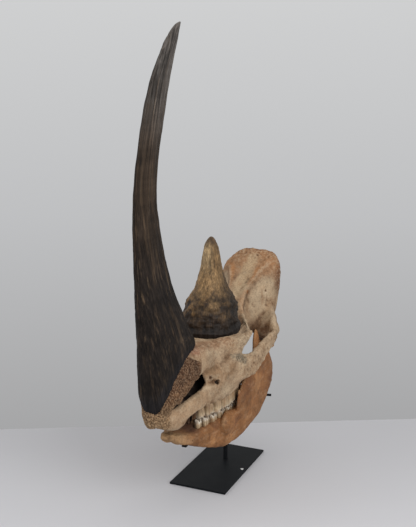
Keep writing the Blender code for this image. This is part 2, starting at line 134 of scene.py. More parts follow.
# Cheek teeth: name, x, y, half length, half width
UPPER_TEETH = (
    ("premolar_2", 525, 43, 12, 12),
    ("premolar_3", 497.5, 53, 14, 16),
    ("premolar_4", 465.5, 62, 16, 19),
    ("molar_1", 427.5, 69, 20, 20),
    ("molar_2", 382, 71, 23, 19),
    ("molar_3", 334.5, 69, 22, 17),
)
LOWER_TEETH = (
    ("premolar_2", 528, 37, 11, 8),
    ("premolar_3", 501, 46, 14, 10),
    ("premolar_4", 469.5, 54, 16, 12),
    ("molar_1", 432.5, 61, 19.5, 13),
    ("molar_2", 389.5, 67, 22, 14),
    ("molar_3", 343, 71, 23, 13),
)


# Skull frame and meshes


def to_skull(points):
    """World metres to the skull's frame in millimetres."""
    back = SKULL_BEHIND_CENTRE - points[:, 1]
    up = points[:, 2] - SKULL_HEIGHT
    c, s = math.cos(NOSE_DOWN), math.sin(NOSE_DOWN)
    return np.stack((back * c - up * s, points[:, 0], back * s + up * c), axis=1) / MM


def to_world(points):
    """The skull's frame in millimetres to world metres."""
    x, y, z = (np.asarray(points, dtype=float) * MM).T
    c, s = math.cos(NOSE_DOWN), math.sin(NOSE_DOWN)
    return np.stack((y, SKULL_BEHIND_CENTRE - x * c - z * s, SKULL_HEIGHT - x * s + z * c), axis=1)


def folded(p):
    """The same points with the right side laid over the left one."""
    return np.stack((p[:, 0], np.abs(p[:, 1]), p[:, 2]), axis=1)


def circle(count):
    angles = np.arange(count) * 2 * math.pi / count
    return np.cos(angles), np.sin(angles)


def read_points(mesh):
    flat = np.empty(len(mesh.vertices) * 3)
    mesh.vertices.foreach_get("co", flat)
    return flat.reshape(-1, 3)


def write_points(mesh, points):
    mesh.vertices.foreach_set("co", np.asarray(points, dtype=np.float32).ravel())
    mesh.update()


def read_normals(mesh):
    flat = np.empty(len(mesh.vertices) * 3)
    mesh.vertex_normals.foreach_get("vector", flat)
    return flat.reshape(-1, 3)


def read_edges(mesh):
    flat = np.empty(len(mesh.edges) * 2, dtype=np.int64)
    mesh.edges.foreach_get("vertices", flat)
    return flat.reshape(-1, 2)


def mean_of_neighbours(points, edges):
    a, b = edges.T
    size = len(points)
    count = np.bincount(a, minlength=size) + np.bincount(b, minlength=size)
    total = np.stack([
        np.bincount(a, points[b, k], size) + np.bincount(b, points[a, k], size)
        for k in range(points.shape[1])
    ], axis=1)
    return total / np.maximum(count, 1)[:, None]


def relax(points, edges, rounds, inward=0.5, outward=-0.52):
    """Evens a surface without letting thin parts shrink."""
    for _ in range(rounds):
        points = points + inward * (mean_of_neighbours(points, edges) - points)
        points = points + outward * (mean_of_neighbours(points, edges) - points)
    return points


def set_colour(mesh, name, colours):
    layer = mesh.attributes.new(name, "FLOAT_COLOR", "POINT")
    full = np.ones((len(colours), 4), dtype=np.float32)
    full[:, :3] = colours
    layer.data.foreach_set("color", full.ravel())


def set_value(mesh, name, values):
    layer = mesh.attributes.new(name, "FLOAT", "POINT")
    layer.data.foreach_set("value", np.asarray(values, dtype=np.float32))


def set_vector(mesh, name, vectors):
    layer = mesh.attributes.new(name, "FLOAT_VECTOR", "POINT")
    layer.data.foreach_set("vector", np.asarray(vectors, dtype=np.float32).ravel())


def linked(name, data):
    """A new object in the scene."""
    obj = bpy.data.objects.new(name, data)
    bpy.context.scene.collection.objects.link(obj)
    return obj


def new_object(name, mesh, material):
    obj = linked(name, mesh)
    mesh.materials.clear()
    mesh.materials.append(material)
    return obj


def finish_piece(obj, nodes):
    """Smooths the piece, hides the solids it takes the place of and hangs it on the root body."""
    obj.data.shade_smooth()
    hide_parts(*nodes)
    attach(obj, "root")


def plain_mesh(carrier, name):
    """The carrier's evaluated shape as a mesh of its own; the carrier itself goes."""
    bpy.context.view_layer.update()
    mesh = bpy.data.meshes.new_from_object(carrier.evaluated_get(bpy.context.evaluated_depsgraph_get()))
    mesh.name = name
    bpy.data.objects.remove(carrier, do_unlink=True)
    return mesh


def ring_faces(loops, around):
    """The faces between rings of points."""
    faces = []
    for r in range(loops - 1):
        for i in range(around):
            j = (i + 1) % around
            faces.append((r * around + i, r * around + j, (r + 1) * around + j, (r + 1) * around + i))
    return faces


def closed_mesh(name, points, faces):
    """A mesh of points in the skull's frame, its faces turned outwards."""
    mesh = bpy.data.meshes.new(name)
    mesh.from_pydata(to_world(points).tolist(), [], faces)
    bm = bmesh.new()
    bm.from_mesh(mesh)
    bmesh.ops.recalc_face_normals(bm, faces=bm.faces)
    bm.to_mesh(mesh)
    bm.free()
    return mesh


# Random fields


def hashed(x, y, z, seed):
    n = (x * 73856093) ^ (y * 19349663) ^ (z * 83492791) ^ (seed * 40503 + 12345)
    n = (n ^ (n >> 13)) & 0xFFFFFFFF
    n = (n * 1274126177) & 0xFFFFFFFF
    n = (n ^ (n >> 16)) & 0xFFFFFFFF
    n = (n * 668265263) & 0xFFFFFFFF
    return ((n ^ (n >> 15)) & 0xFFFFFF) / float(0xFFFFFF)


TILT = np.array(((0.36, 0.48, -0.8), (-0.8, 0.6, 0.0), (0.48, 0.64, 0.6)))


def grain(points, size, seed=0):
    """A soft random field from -1 to 1 with forms about as long as size."""
    p = points @ TILT.T / size
    base = np.floor(p).astype(np.int64)
    t = p - base
    t = t * t * t * (t * (t * 6 - 15) + 10)
    total = np.zeros(len(points))
    for dx in (0, 1):
        for dy in (0, 1):
            for dz in (0, 1):
                share = ((t[:, 0] if dx else 1 - t[:, 0]) * (t[:, 1] if dy else 1 - t[:, 1])
                         * (t[:, 2] if dz else 1 - t[:, 2]))
                total += share * hashed(base[:, 0] + dx, base[:, 1] + dy, base[:, 2] + dz, seed)
    return total * 2 - 1


def grain_vector(points, size, seed):
    """Three soft random fields, as a shift of each point."""
    return np.stack([grain(points, size, seed + k) for k in range(3)], axis=1)


def rough(points, size, octaves, seed=0):
    total = np.zeros(len(points))
    weight = 1.0
    p = points
    for i in range(octaves):
        total += weight * grain(p, size, seed + i * 17)
        weight *= 0.5
        p = p @ TILT.T * 2.03 + 5.3
    return total


def dimples(points, size, seed=0):
    """Distance to the nearest of many scattered points, as a share of size."""
    p = points / size
    base = np.floor(p).astype(np.int64)
    best = np.full(len(points), 9.0)
    for dx in (-1, 0, 1):
        for dy in (-1, 0, 1):
            for dz in (-1, 0, 1):
                x, y, z = base[:, 0] + dx, base[:, 1] + dy, base[:, 2] + dz
                gap = np.stack((
                    x + hashed(x, y, z, seed) - p[:, 0],
                    y + hashed(x, y, z, seed + 1) - p[:, 1],
                    z + hashed(x, y, z, seed + 2) - p[:, 2],
                ))
                best = np.minimum(best, (gap * gap).sum(axis=0))
    return np.sqrt(best)


def ramp(value, low, high):
    """0 up to low and 1 from high on, with a soft rise between them."""
    t = np.clip((value - low) / (high - low), 0.0, 1.0)
    return t * t * (3 - 2 * t)


def fall(value, low, high):
    """1 up to low and 0 from high on."""
    return ramp(-value, -high, -low)


def near_path(points, path):
    """Distance in millimetres to a line through the given points."""
    path = np.asarray(path, dtype=float)
    best = np.full(len(points), 1e9)
    for a, b in zip(path, path[1:]):
        step = b - a
        t = np.clip(((points - a) @ step) / (step @ step), 0, 1)
        best = np.minimum(best, np.linalg.norm(points - a - t[:, None] * step, axis=1))
    return best


def near_spot(points, spot):
    return np.linalg.norm(points - np.asarray(spot, dtype=float), axis=1)


def layered(base, *layers):
    """The base colour with each (colour, share) laid over it in turn."""
    tint = np.asarray(base)
    for colour, share in layers:
        share = np.clip(share, 0, 1)[:, None]
        tint = tint * (1 - share) + np.asarray(colour) * share
    return tint


# Materials


def add_node(tree, kind, inputs=None, **settings):
    """A node with its settings; each input takes a plain value or a link from a socket."""
    made = tree.nodes.new(kind)
    for key, value in settings.items():
        setattr(made, key, value)
    for key, value in (inputs or {}).items():
        if isinstance(value, bpy.types.NodeSocket):
            tree.links.new(value, made.inputs[key])
        else:
            made.inputs[key].default_value = value
    return made


def new_material(name, roughness, specular):
    material = bpy.data.materials.new(name)
    material.use_nodes = True
    shader = material.node_tree.nodes["Principled BSDF"]
    shader.inputs["Roughness"].default_value = roughness
    shader.inputs["Specular IOR Level"].default_value = specular
    return material, material.node_tree


def opaque(shade):
    """A grey or a colour, with full cover."""
    return (shade, shade, shade, 1.0) if isinstance(shade, (int, float)) else (*shade, 1.0)


def mixed(tree, blend, factor, a, b):
    """A colour mix whose factor and colours are sockets or plain values."""
    a, b = (value if isinstance(value, bpy.types.NodeSocket) else opaque(value) for value in (a, b))
    mix = add_node(tree, "ShaderNodeMix", {0: factor, 6: a, 7: b}, data_type="RGBA", blend_type=blend)
    return mix.outputs[2]


def ramp_node(tree, socket, stops):
    made = add_node(tree, "ShaderNodeValToRGB", {"Fac": socket})
    elements = made.color_ramp.elements
    while len(elements) < len(stops):
        elements.new(0.5)
    for element, (place, shade) in zip(elements, stops):
        element.position = place
        element.color = opaque(shade)
    return made.outputs["Color"]


def toned(tree, colour, *layers):
    """The colour multiplied by each layer: (socket, share, stops of its ramp)."""
    for socket, share, stops in layers:
        colour = mixed(tree, "MULTIPLY", share, colour, ramp_node(tree, socket, stops))
    return colour


def mapped(tree, source, scale):
    return add_node(tree, "ShaderNodeMapping", {"Vector": source, "Scale": scale}).outputs["Vector"]


def noise_node(tree, vector, scale, detail, rough_share, distortion=0.0):
    return add_node(tree, "ShaderNodeTexNoise", {
        "Vector": vector, "Scale": scale, "Detail": detail, "Roughness": rough_share,
        "Distortion": distortion}).outputs["Fac"]


def attribute(tree, name, output="Color"):
    return add_node(tree, "ShaderNodeAttribute", attribute_name=name).outputs[output]


def object_place(tree):
    return add_node(tree, "ShaderNodeTexCoord").outputs["Object"]


def dress_shader(tree, colour, polish, low, high, bumps):
    """Links the colour, a roughness between low and high, and bumps: (height, strength, metres)."""
    shader = tree.nodes["Principled BSDF"]
    spread = add_node(tree, "ShaderNodeMapRange", {"To Min": low, "To Max": high, "Value": polish})
    relief = {}
    for height, strength, distance in bumps:
        bump = add_node(tree, "ShaderNodeBump",
                        {"Strength": strength, "Distance": distance, "Height": height, **relief})
        relief = {"Normal": bump.outputs["Normal"]}
    for socket, name in ((colour, "Base Color"), (spread.outputs["Result"], "Roughness"),
                         (relief["Normal"], "Normal")):
        tree.links.new(socket, shader.inputs[name])


def bone_material(name, painted_pore_shadow, stain):
    """Old bone: the piece's own tint with stains, fine pores darkened with painted shade, and hair cracks."""
    material, tree = new_material(name, 0.75, 0.16)
    place = object_place(tree)
    clouds = noise_node(tree, place, 22.0, 6.0, 0.62, 0.4)
    flecks = noise_node(tree, place, 210.0, 5.0, 0.7)
    pores = add_node(tree, "ShaderNodeTexVoronoi", {"Vector": place, "Scale": 420.0}).outputs["Distance"]
    cracks = noise_node(tree, mapped(tree, place, (1.0, 0.35, 0.6)), 95.0, 8.0, 0.75, 1.2)
    colour = toned(tree, attribute(tree, "tint"), (clouds, 1.0, ((0.3, 0.70), (0.5, 1.0), (0.72, 1.2))))
    colour = mixed(tree, "MIX", ramp_node(tree, cracks, ((0.6, 0.0), (0.75, 0.45))), colour, stain)
    colour = toned(tree, colour, (flecks, 0.9, ((0.34, 0.62), (0.5, 1.0), (0.7, 1.14))))
    # painted shade in the pores, which the bump also sinks
    holes = add_node(tree, "ShaderNodeMath", {
        0: ramp_node(tree, pores, ((0.1, 1.0), (0.34, 0.0))), 1: attribute(tree, "porous", "Fac"),
    }, operation="MULTIPLY").outputs[0]
    colour = mixed(tree, "MIX", holes, colour, painted_pore_shadow)
    dress_shader(tree, colour, flecks, 0.62, 0.9,
                 ((clouds, 0.25, 0.002), (flecks, 0.5, 0.0006), (holes, -0.6, 0.0008)))
    return material


def enamel_material():
    material, tree = new_material("cream_enamel", 0.35, 0.5)
    place = object_place(tree)
    lines = noise_node(tree, mapped(tree, place, (1.0, 1.0, 0.12)), 420.0, 4.0, 0.6)
    clouds = noise_node(tree, place, 60.0, 4.0, 0.6)
    colour = toned(tree, attribute(tree, "tint"),
                   (lines, 0.9, ((0.35, 0.62), (0.5, 1.0), (0.7, 1.12))),
                   (clouds, 0.8, ((0.3, 0.75), (0.6, 1.08))))
    dress_shader(tree, colour, clouds, 0.28, 0.55, ((lines, 0.35, 0.0005), (clouds, 0.2, 0.0006)))
    return material


def horn_material(name, gloss_low, gloss_high, specular):
    """Keratin: the piece's own tint crossed by long fibres that run from base to tip."""
    material, tree = new_material(name, 0.55, specular)
    along = attribute(tree, "fibre_place", "Vector")
    wide = noise_node(tree, mapped(tree, along, (1.0, 1.0, 0.022)), 130.0, 5.0, 0.65)
    fine = noise_node(tree, mapped(tree, along, (1.0, 1.0, 0.016)), 520.0, 4.0, 0.6)
    bands = noise_node(tree, mapped(tree, along, (0.1, 0.1, 1.0)), 60.0, 3.0, 0.5)
    blotches = noise_node(tree, object_place(tree), 16.0, 5.0, 0.6)
    colour = toned(tree, attribute(tree, "tint"),
                   (wide, 1.0, ((0.36, 0.6), (0.5, 1.0), (0.66, 1.6))),
                   (fine, 0.9, ((0.35, 0.65), (0.52, 1.0), (0.7, 1.4))),
                   (bands, 0.5, ((0.35, 0.8), (0.6, 1.15))),
                   (blotches, 0.8, ((0.32, 0.68), (0.5, 1.0), (0.72, 1.3))))
    dress_shader(tree, colour, wide, gloss_low, gloss_high,
                 ((wide, 0.5, 0.0016), (fine, 0.55, 0.0006), (bands, 0.15, 0.001)))
    return material


def metal_material():
    material, tree = new_material("black_metal_paint", 0.5, 0.08)
    place = object_place(tree)
    clouds = noise_node(tree, place, 18.0, 4.0, 0.6)
    grit = noise_node(tree, place, 900.0, 3.0, 0.6)
    wear = noise_node(tree, place, 70.0, 6.0, 0.7)
    colour = mixed(tree, "MIX", clouds, (0.006, 0.007, 0.008), (0.011, 0.012, 0.014))
    worn = ramp_node(tree, wear, ((0.66, 0.0), (0.8, 0.35)))
    colour = mixed(tree, "MIX", worn, colour, (0.05, 0.05, 0.052))
    dress_shader(tree, colour, clouds, 0.45, 0.65, ((grit, 0.12, 0.0002),))
    return material


def plain_noise_material(name, low, high, scale, roughness):
    material, tree = new_material(name, roughness, 0.3)
    clouds = noise_node(tree, object_place(tree), scale, 5.0, 0.55)
    dress_shader(tree, mixed(tree, "MIX", clouds, low, high), clouds, roughness - 0.06, roughness + 0.06,
                 ((clouds, 0.05, 0.0005),))
    return material


def floor_material(eye, ahead):
    """Pale floor with painted shade that darkens it a little towards its far edge."""
    material = plain_noise_material("pale_floor", (0.60, 0.595, 0.615), (0.62, 0.615, 0.635), 3.0, 0.6)
    tree = material.node_tree
    base = tree.nodes["Principled BSDF"].inputs["Base Color"]
    dot = add_node(tree, "ShaderNodeVectorMath", {0: object_place(tree), 1: ahead}, operation="DOT_PRODUCT")
    start = eye.dot(ahead)
    spread = add_node(tree, "ShaderNodeMapRange", {
        "From Min": start + FLOOR_FADE[0], "From Max": start + FLOOR_FADE[1], "Value": dot.outputs["Value"]})
    fade = (spread.outputs["Result"], 1.0, ((0.0, 1.0), (0.7, 0.89), (1.0, 0.86)))
    tree.links.new(toned(tree, base.links[0].from_socket, fade), base)
    return material


# Bones

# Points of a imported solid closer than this, in metres, are one
WELD = 1e-5

# Rounds of softening that tell fine relief and wide hollows apart
FINE_ROUNDS = 3
WIDE_ROUNDS = 14

# Tooth roots: inset from the row's outer side, height, share of the tooth's length, half width, half height
UPPER_ROOT = (6.5, 36, 0.84, 8, 15)
LOWER_ROOT = (6, -46, 0.9, 7, 14)

# Extra rounded forms of the left side, in the skull's frame: middle, half sizes
NOSE_WALL = (
    ((576, 53, 141), (26, 8, 18)),
    ((604, 49, 129), (28, 8, 21)),
    ((632, 45, 117), (26, 8, 20)),
    ((656, 41, 104), (24, 8, 19)),
)
CRANIUM_KNOBS = (
    ((352, 122, 198), (16, 10, 8)),
    ((426, 104, 150), (20, 12, 18)),
    ((302, 77, 24), (15, 11, 12)),
    *NOSE_WALL,
)
MANDIBLE_KNOBS = (
    ((511, 16, -37), (14, 11, 15)),
    ((425, 85, -52), (46, 18, 36)),
    ((386, 104, 0), (15, 6, 34)),
)

# Hole of the cheek nerve, outside and inside, then pits: middle, reach, depth
FORAMEN = (497, 87, 95)
FORAMEN_INNER = (487, 58, 89)
CREST_PITS = (((29.5, 27.8, 350), 4.4, 5), ((75.3, 72.2, 247), 4.6, 6), ((118, 52, 222), 2.4, 2))
CHEEK_PITS = (((366, 122, 122), 2.6, 2.5), ((512, 70, 111), 6.0, 6))
JAW_PITS = (((585, 48, -50), 4.0, 6), ((566, 50, -52), 2.6, 3), ((300, 108, -60), 2.5, 2))
GREY_PATCH = ((430, 102, 155), (414, 115, 145), (396, 125, 131))
BONE_SEAMS = (
    ((330, 140, 140), (306, 152, 116), (288, 156, 104)),
    ((446, 104, 112), (436, 104, 92), (424, 102, 50)),
    ((556, 60, 82), (548, 58, 50), (544, 56, 24)),
)
CREST_RIDGE = ((14, 98, 314), (40, 66, 318), (64, 42, 314), (110, 33, 282), (168, 32, 250), (196, 38, 232),
               (250, 64, 206))

# Height of the crest against the distance from the middle, whole and worn
CREST_OUTLINE = ((0, 20, 45, 64, 82, 95, 104), (364, 363, 361, 357, 345, 325, 295))
WORN_OUTLINE = ((0, 20, 45, 64, 82.5, 101.7, 110), (364, 362, 353, 338, 320, 290, 276))


def welded_copy(name):
    """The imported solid's mesh with its loose triangles joined."""
    bm = bmesh.new()
    bm.from_mesh(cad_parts[name].data)
    bmesh.ops.remove_doubles(bm, verts=bm.verts, dist=WELD)
    return bm


def add_knob(bm, centre, half, sign):
    """An extra rounded form that the surface grows over: centre and half sizes in the skull's frame."""
    middle = np.array((centre[0], centre[1] * sign, centre[2]), dtype=float)
    fresh = bmesh.ops.create_icosphere(bm, subdivisions=3, radius=1.0)["verts"]
    local = np.array([v.co[:] for v in fresh]) * np.asarray(half, dtype=float) + middle
    for vert, place in zip(fresh, to_world(local)):
        vert.co = place


def grown_mesh(bm, name, voxel, rounds):
    """One fine even skin over the solid and its extra forms."""
    mesh = bpy.data.meshes.new(name + "_coarse")
    bm.to_mesh(mesh)
    bm.free()
    carrier = linked(name + "_coarse", mesh)
    remesh = carrier.modifiers.new("skin", "REMESH")
    remesh.mode = "VOXEL"
    remesh.voxel_size = voxel
    fine = plain_mesh(carrier, name)
    write_points(fine, relax(read_points(fine), read_edges(fine), rounds))
    return fine


def thinned(mesh, share):
    """Thins the mesh to a share of its triangles, mostly where it is smooth."""
    name = mesh.name
    mesh.name = name + "_dense"
    carrier = linked(mesh.name, mesh)
    carrier.modifiers.new("thin", "DECIMATE").ratio = share
    return plain_mesh(carrier, name)


def refine(mesh, mask):
    """Halves the faces whose corners all lie in the mask."""
    bm = bmesh.new()
    bm.from_mesh(mesh)
    bm.verts.ensure_lookup_table()
    chosen = [f for f in bm.faces if all(mask[v.index] for v in f.verts)]
    edges = list({e for f in chosen for e in f.edges})
    bmesh.ops.subdivide_edges(bm, edges=edges, cuts=1, use_grid_fill=True)
    bm.to_mesh(mesh)
    bm.free()


def softened(points, edges, rounds):
    for _ in range(rounds):
        points = mean_of_neighbours(points, edges)
    return points


def hollowness(mesh, rounds):
    """How far each point lies below its softened surroundings, in millimetres."""
    points = read_points(mesh)
    return ((softened(points, read_edges(mesh), rounds) - points) * read_normals(mesh)).sum(axis=1) / MM


def soften(mesh, share, rounds):
    """Smooths the mesh where the share is 1 and leaves it alone where it is 0."""
    points = read_points(mesh)
    write_points(mesh, points + (softened(points, read_edges(mesh), rounds) - points) * share[:, None])


def raise_surface(mesh, lift):
    """Moves each point along its normal, by millimetres."""
    write_points(mesh, read_points(mesh) + read_normals(mesh) * (lift * MM)[:, None])


def pitted(lift, points, pits):
    """The relief with round pits in it: (middle, reach, depth)."""
    for spot, reach, depth in pits:
        lift = lift - depth * fall(near_spot(points, spot), reach * 0.35, reach)
    return lift


def boss_share(p):
    """Where the cranium is rough under the front horn: the nose's sides and its front."""
    x, z = p[:, 0], p[:, 2]
    edge = rough(p, 14, 2, 3) * 4
    above = z - np.interp(x, (524, 546, 601, 630, 685, 712, 735), (112, 126, 107, 93, 78, 52, 36))
    nose = ramp(x - np.maximum(z - 172, 0) * 1.6 + edge, 557, 564) * ramp(above + edge * 0.4, -3, 3)
    nose = np.maximum(nose, ramp(x + edge * 0.5, 690, 704) * ramp(z, 24, 38))
    return np.clip(nose, 0, 1)


def boss_pattern(p):
    """Worm-like channels and pits of the boss, 1 in their middle."""
    bent = p + grain_vector(p, 9, 50) * 2.5
    worms = np.clip(1.25 - np.abs(grain(bent, 5.2, 31)) * 3.6, 0, 1)
    pits = np.clip(1.65 - dimples(p, 5.6, 41) * 3.0, 0, 1)
    return np.maximum(worms * 0.85, pits)


def inside_slit(p):
    """Walls of the nostril behind the long slit, where the colour is painted near-black as shade."""
    x, y, z = p.T
    side = np.abs(y)
    window = ((x - 556) / 37) ** 2 + ((side - 72) / 35) ** 2 + ((z - 106) / 24) ** 2
    deep = fall(window, 1.0, 1.25) * fall(side, 53, 60)
    wall = np.interp(x, (540, 590, 640, 680), (48, 43, 35, 28))
    hollow = ramp(wall - side, -3, 4) * ramp(z, 48, 60) * fall(z, 150, 170) * ramp(x, 420, 450)
    hollow = hollow * fall(x, 668, 694)
    return np.clip(np.maximum(deep, hollow), 0, 1)


def tooth_gaps(x):
    """1 between two upper teeth, 0 along their middles."""
    gaps = np.ones(len(x))
    for _, tooth_x, _, half, _ in UPPER_TEETH:
        gaps = np.minimum(gaps, ramp(np.abs(x - tooth_x) / half, 0.62, 0.98))
    return gaps


def bone_bulk(name, knobs, teeth, root):
    """A packed bone with the small forms that only the visual model carries, and its tooth roots."""
    bm = welded_copy(name)
    inset, height, long_share, half_width, half_height = root
    for sign in (1, -1):
        for centre, half in knobs:
            add_knob(bm, centre, half, sign)
        for _, x, y, half_length, tooth_half in teeth:
            half = (half_length * long_share, half_width, half_height)
            add_knob(bm, (x, y + tooth_half - inset, height), half, sign)
    return bm


def wear_crest_corner(p):
    """The crest's right corner is worn rounder than the left one."""
    x, y, z = p.T
    side = np.maximum(-y, 0)
    full = np.interp(side, *CREST_OUTLINE)
    worn = np.interp(side, *WORN_OUTLINE)
    foot = worn - 60
    share = np.clip((z - foot) / (full - foot), 0, 1.2)
    lower = np.where(z > foot, foot + share * (worn - foot), z)
    near = ramp(side, 18, 40) * fall(x, 50, 110)
    out = p.copy()
    out[:, 2] = z + (lower - z) * near
    return out


def carve_cranium(mesh):
    points = to_world(wear_crest_corner(to_skull(read_points(mesh))))
    write_points(mesh, points)
    side = folded(to_skull(points))
    orbit_rim = near_path(side, ((520, 72, 150), (470, 88, 150), (436, 102, 165)))
    soften(mesh, np.maximum(fall(near_spot(side, (124, 102, 162)), 20, 38), fall(orbit_rim, 24, 46)), 24)
    p = to_skull(read_points(mesh))
    side = folded(p)
    x, wide, z = side.T
    boss = boss_share(p)
    lift = rough(p, 26, 3, 1) * 0.9 + rough(p, 7, 2, 5) * 0.28

    # the roof dips around the foot of the rear horn
    lift -= 7.5 * fall(np.hypot((x - 345) / 95, p[:, 1] / 81), 1.06, 1.32) * ramp(z, 178, 192)

    # channels and pits of the boss
    lift -= boss * (2.3 * boss_pattern(p) - 0.9)
    lift += boss * rough(p, 16, 2, 8) * 1.2

    # the muscle scars on the rear crest's rim and on the cheek arch
    rim = np.maximum(ramp(z, 318, 352), ramp(wide, 84, 98) * ramp(z, 120, 170)) * fall(x, 20, 60)
    lift += rim * rough(p, 9, 3, 12) * 1.8
    lift += ramp(wide, 114, 128) * ramp(x, 150, 200) * rough(p, 10, 3, 14) * 1.7
    brow = ramp(z, 160, 180) * ramp(x, 330, 360) * fall(x, 470, 520) * ramp(wide, 40, 60)
    lift += brow * rough(p, 6, 3, 18) * 0.9

    # the cheek arches stay within the plain solid's width
    lift -= 1.8 * ramp(wide, 148, 157)

    # root swellings above the cheek teeth
    for _, tooth_x, _, half, _ in UPPER_TEETH:
        swell = np.exp(-((x - tooth_x) / (half * 0.55)) ** 2) * ramp(z, 2, 14) * fall(z, 26, 56)
        lift += (swell * 3.4 - 0.9 * fall(z, 24, 40)) * ramp(wide, 40, 54) * fall(z, 40, 60)
    lift += fall(z, 18, 34) * ramp(x, 300, 330) * fall(x, 530, 560) * rough(p, 5, 3, 61) * 1.5

    # fine seams between the bones
    wiggle = side + grain_vector(p, 6, 70) * 2.2
    for path in BONE_SEAMS:
        lift -= 0.9 * fall(near_path(wiggle, path), 0.5, 1.9)

    # vessel holes and old damage, and the rough patch on the cheek bone's top
    lift = pitted(pitted(lift, p, CREST_PITS), side, CHEEK_PITS)
    lift -= 15 * fall(near_spot(side, FORAMEN), 4.4, 7.0)
    lift += fall(near_path(side, GREY_PATCH), 7, 15) * (rough(p, 6, 3, 77) * 2.0 - 1.0)
    raise_surface(mesh, lift)


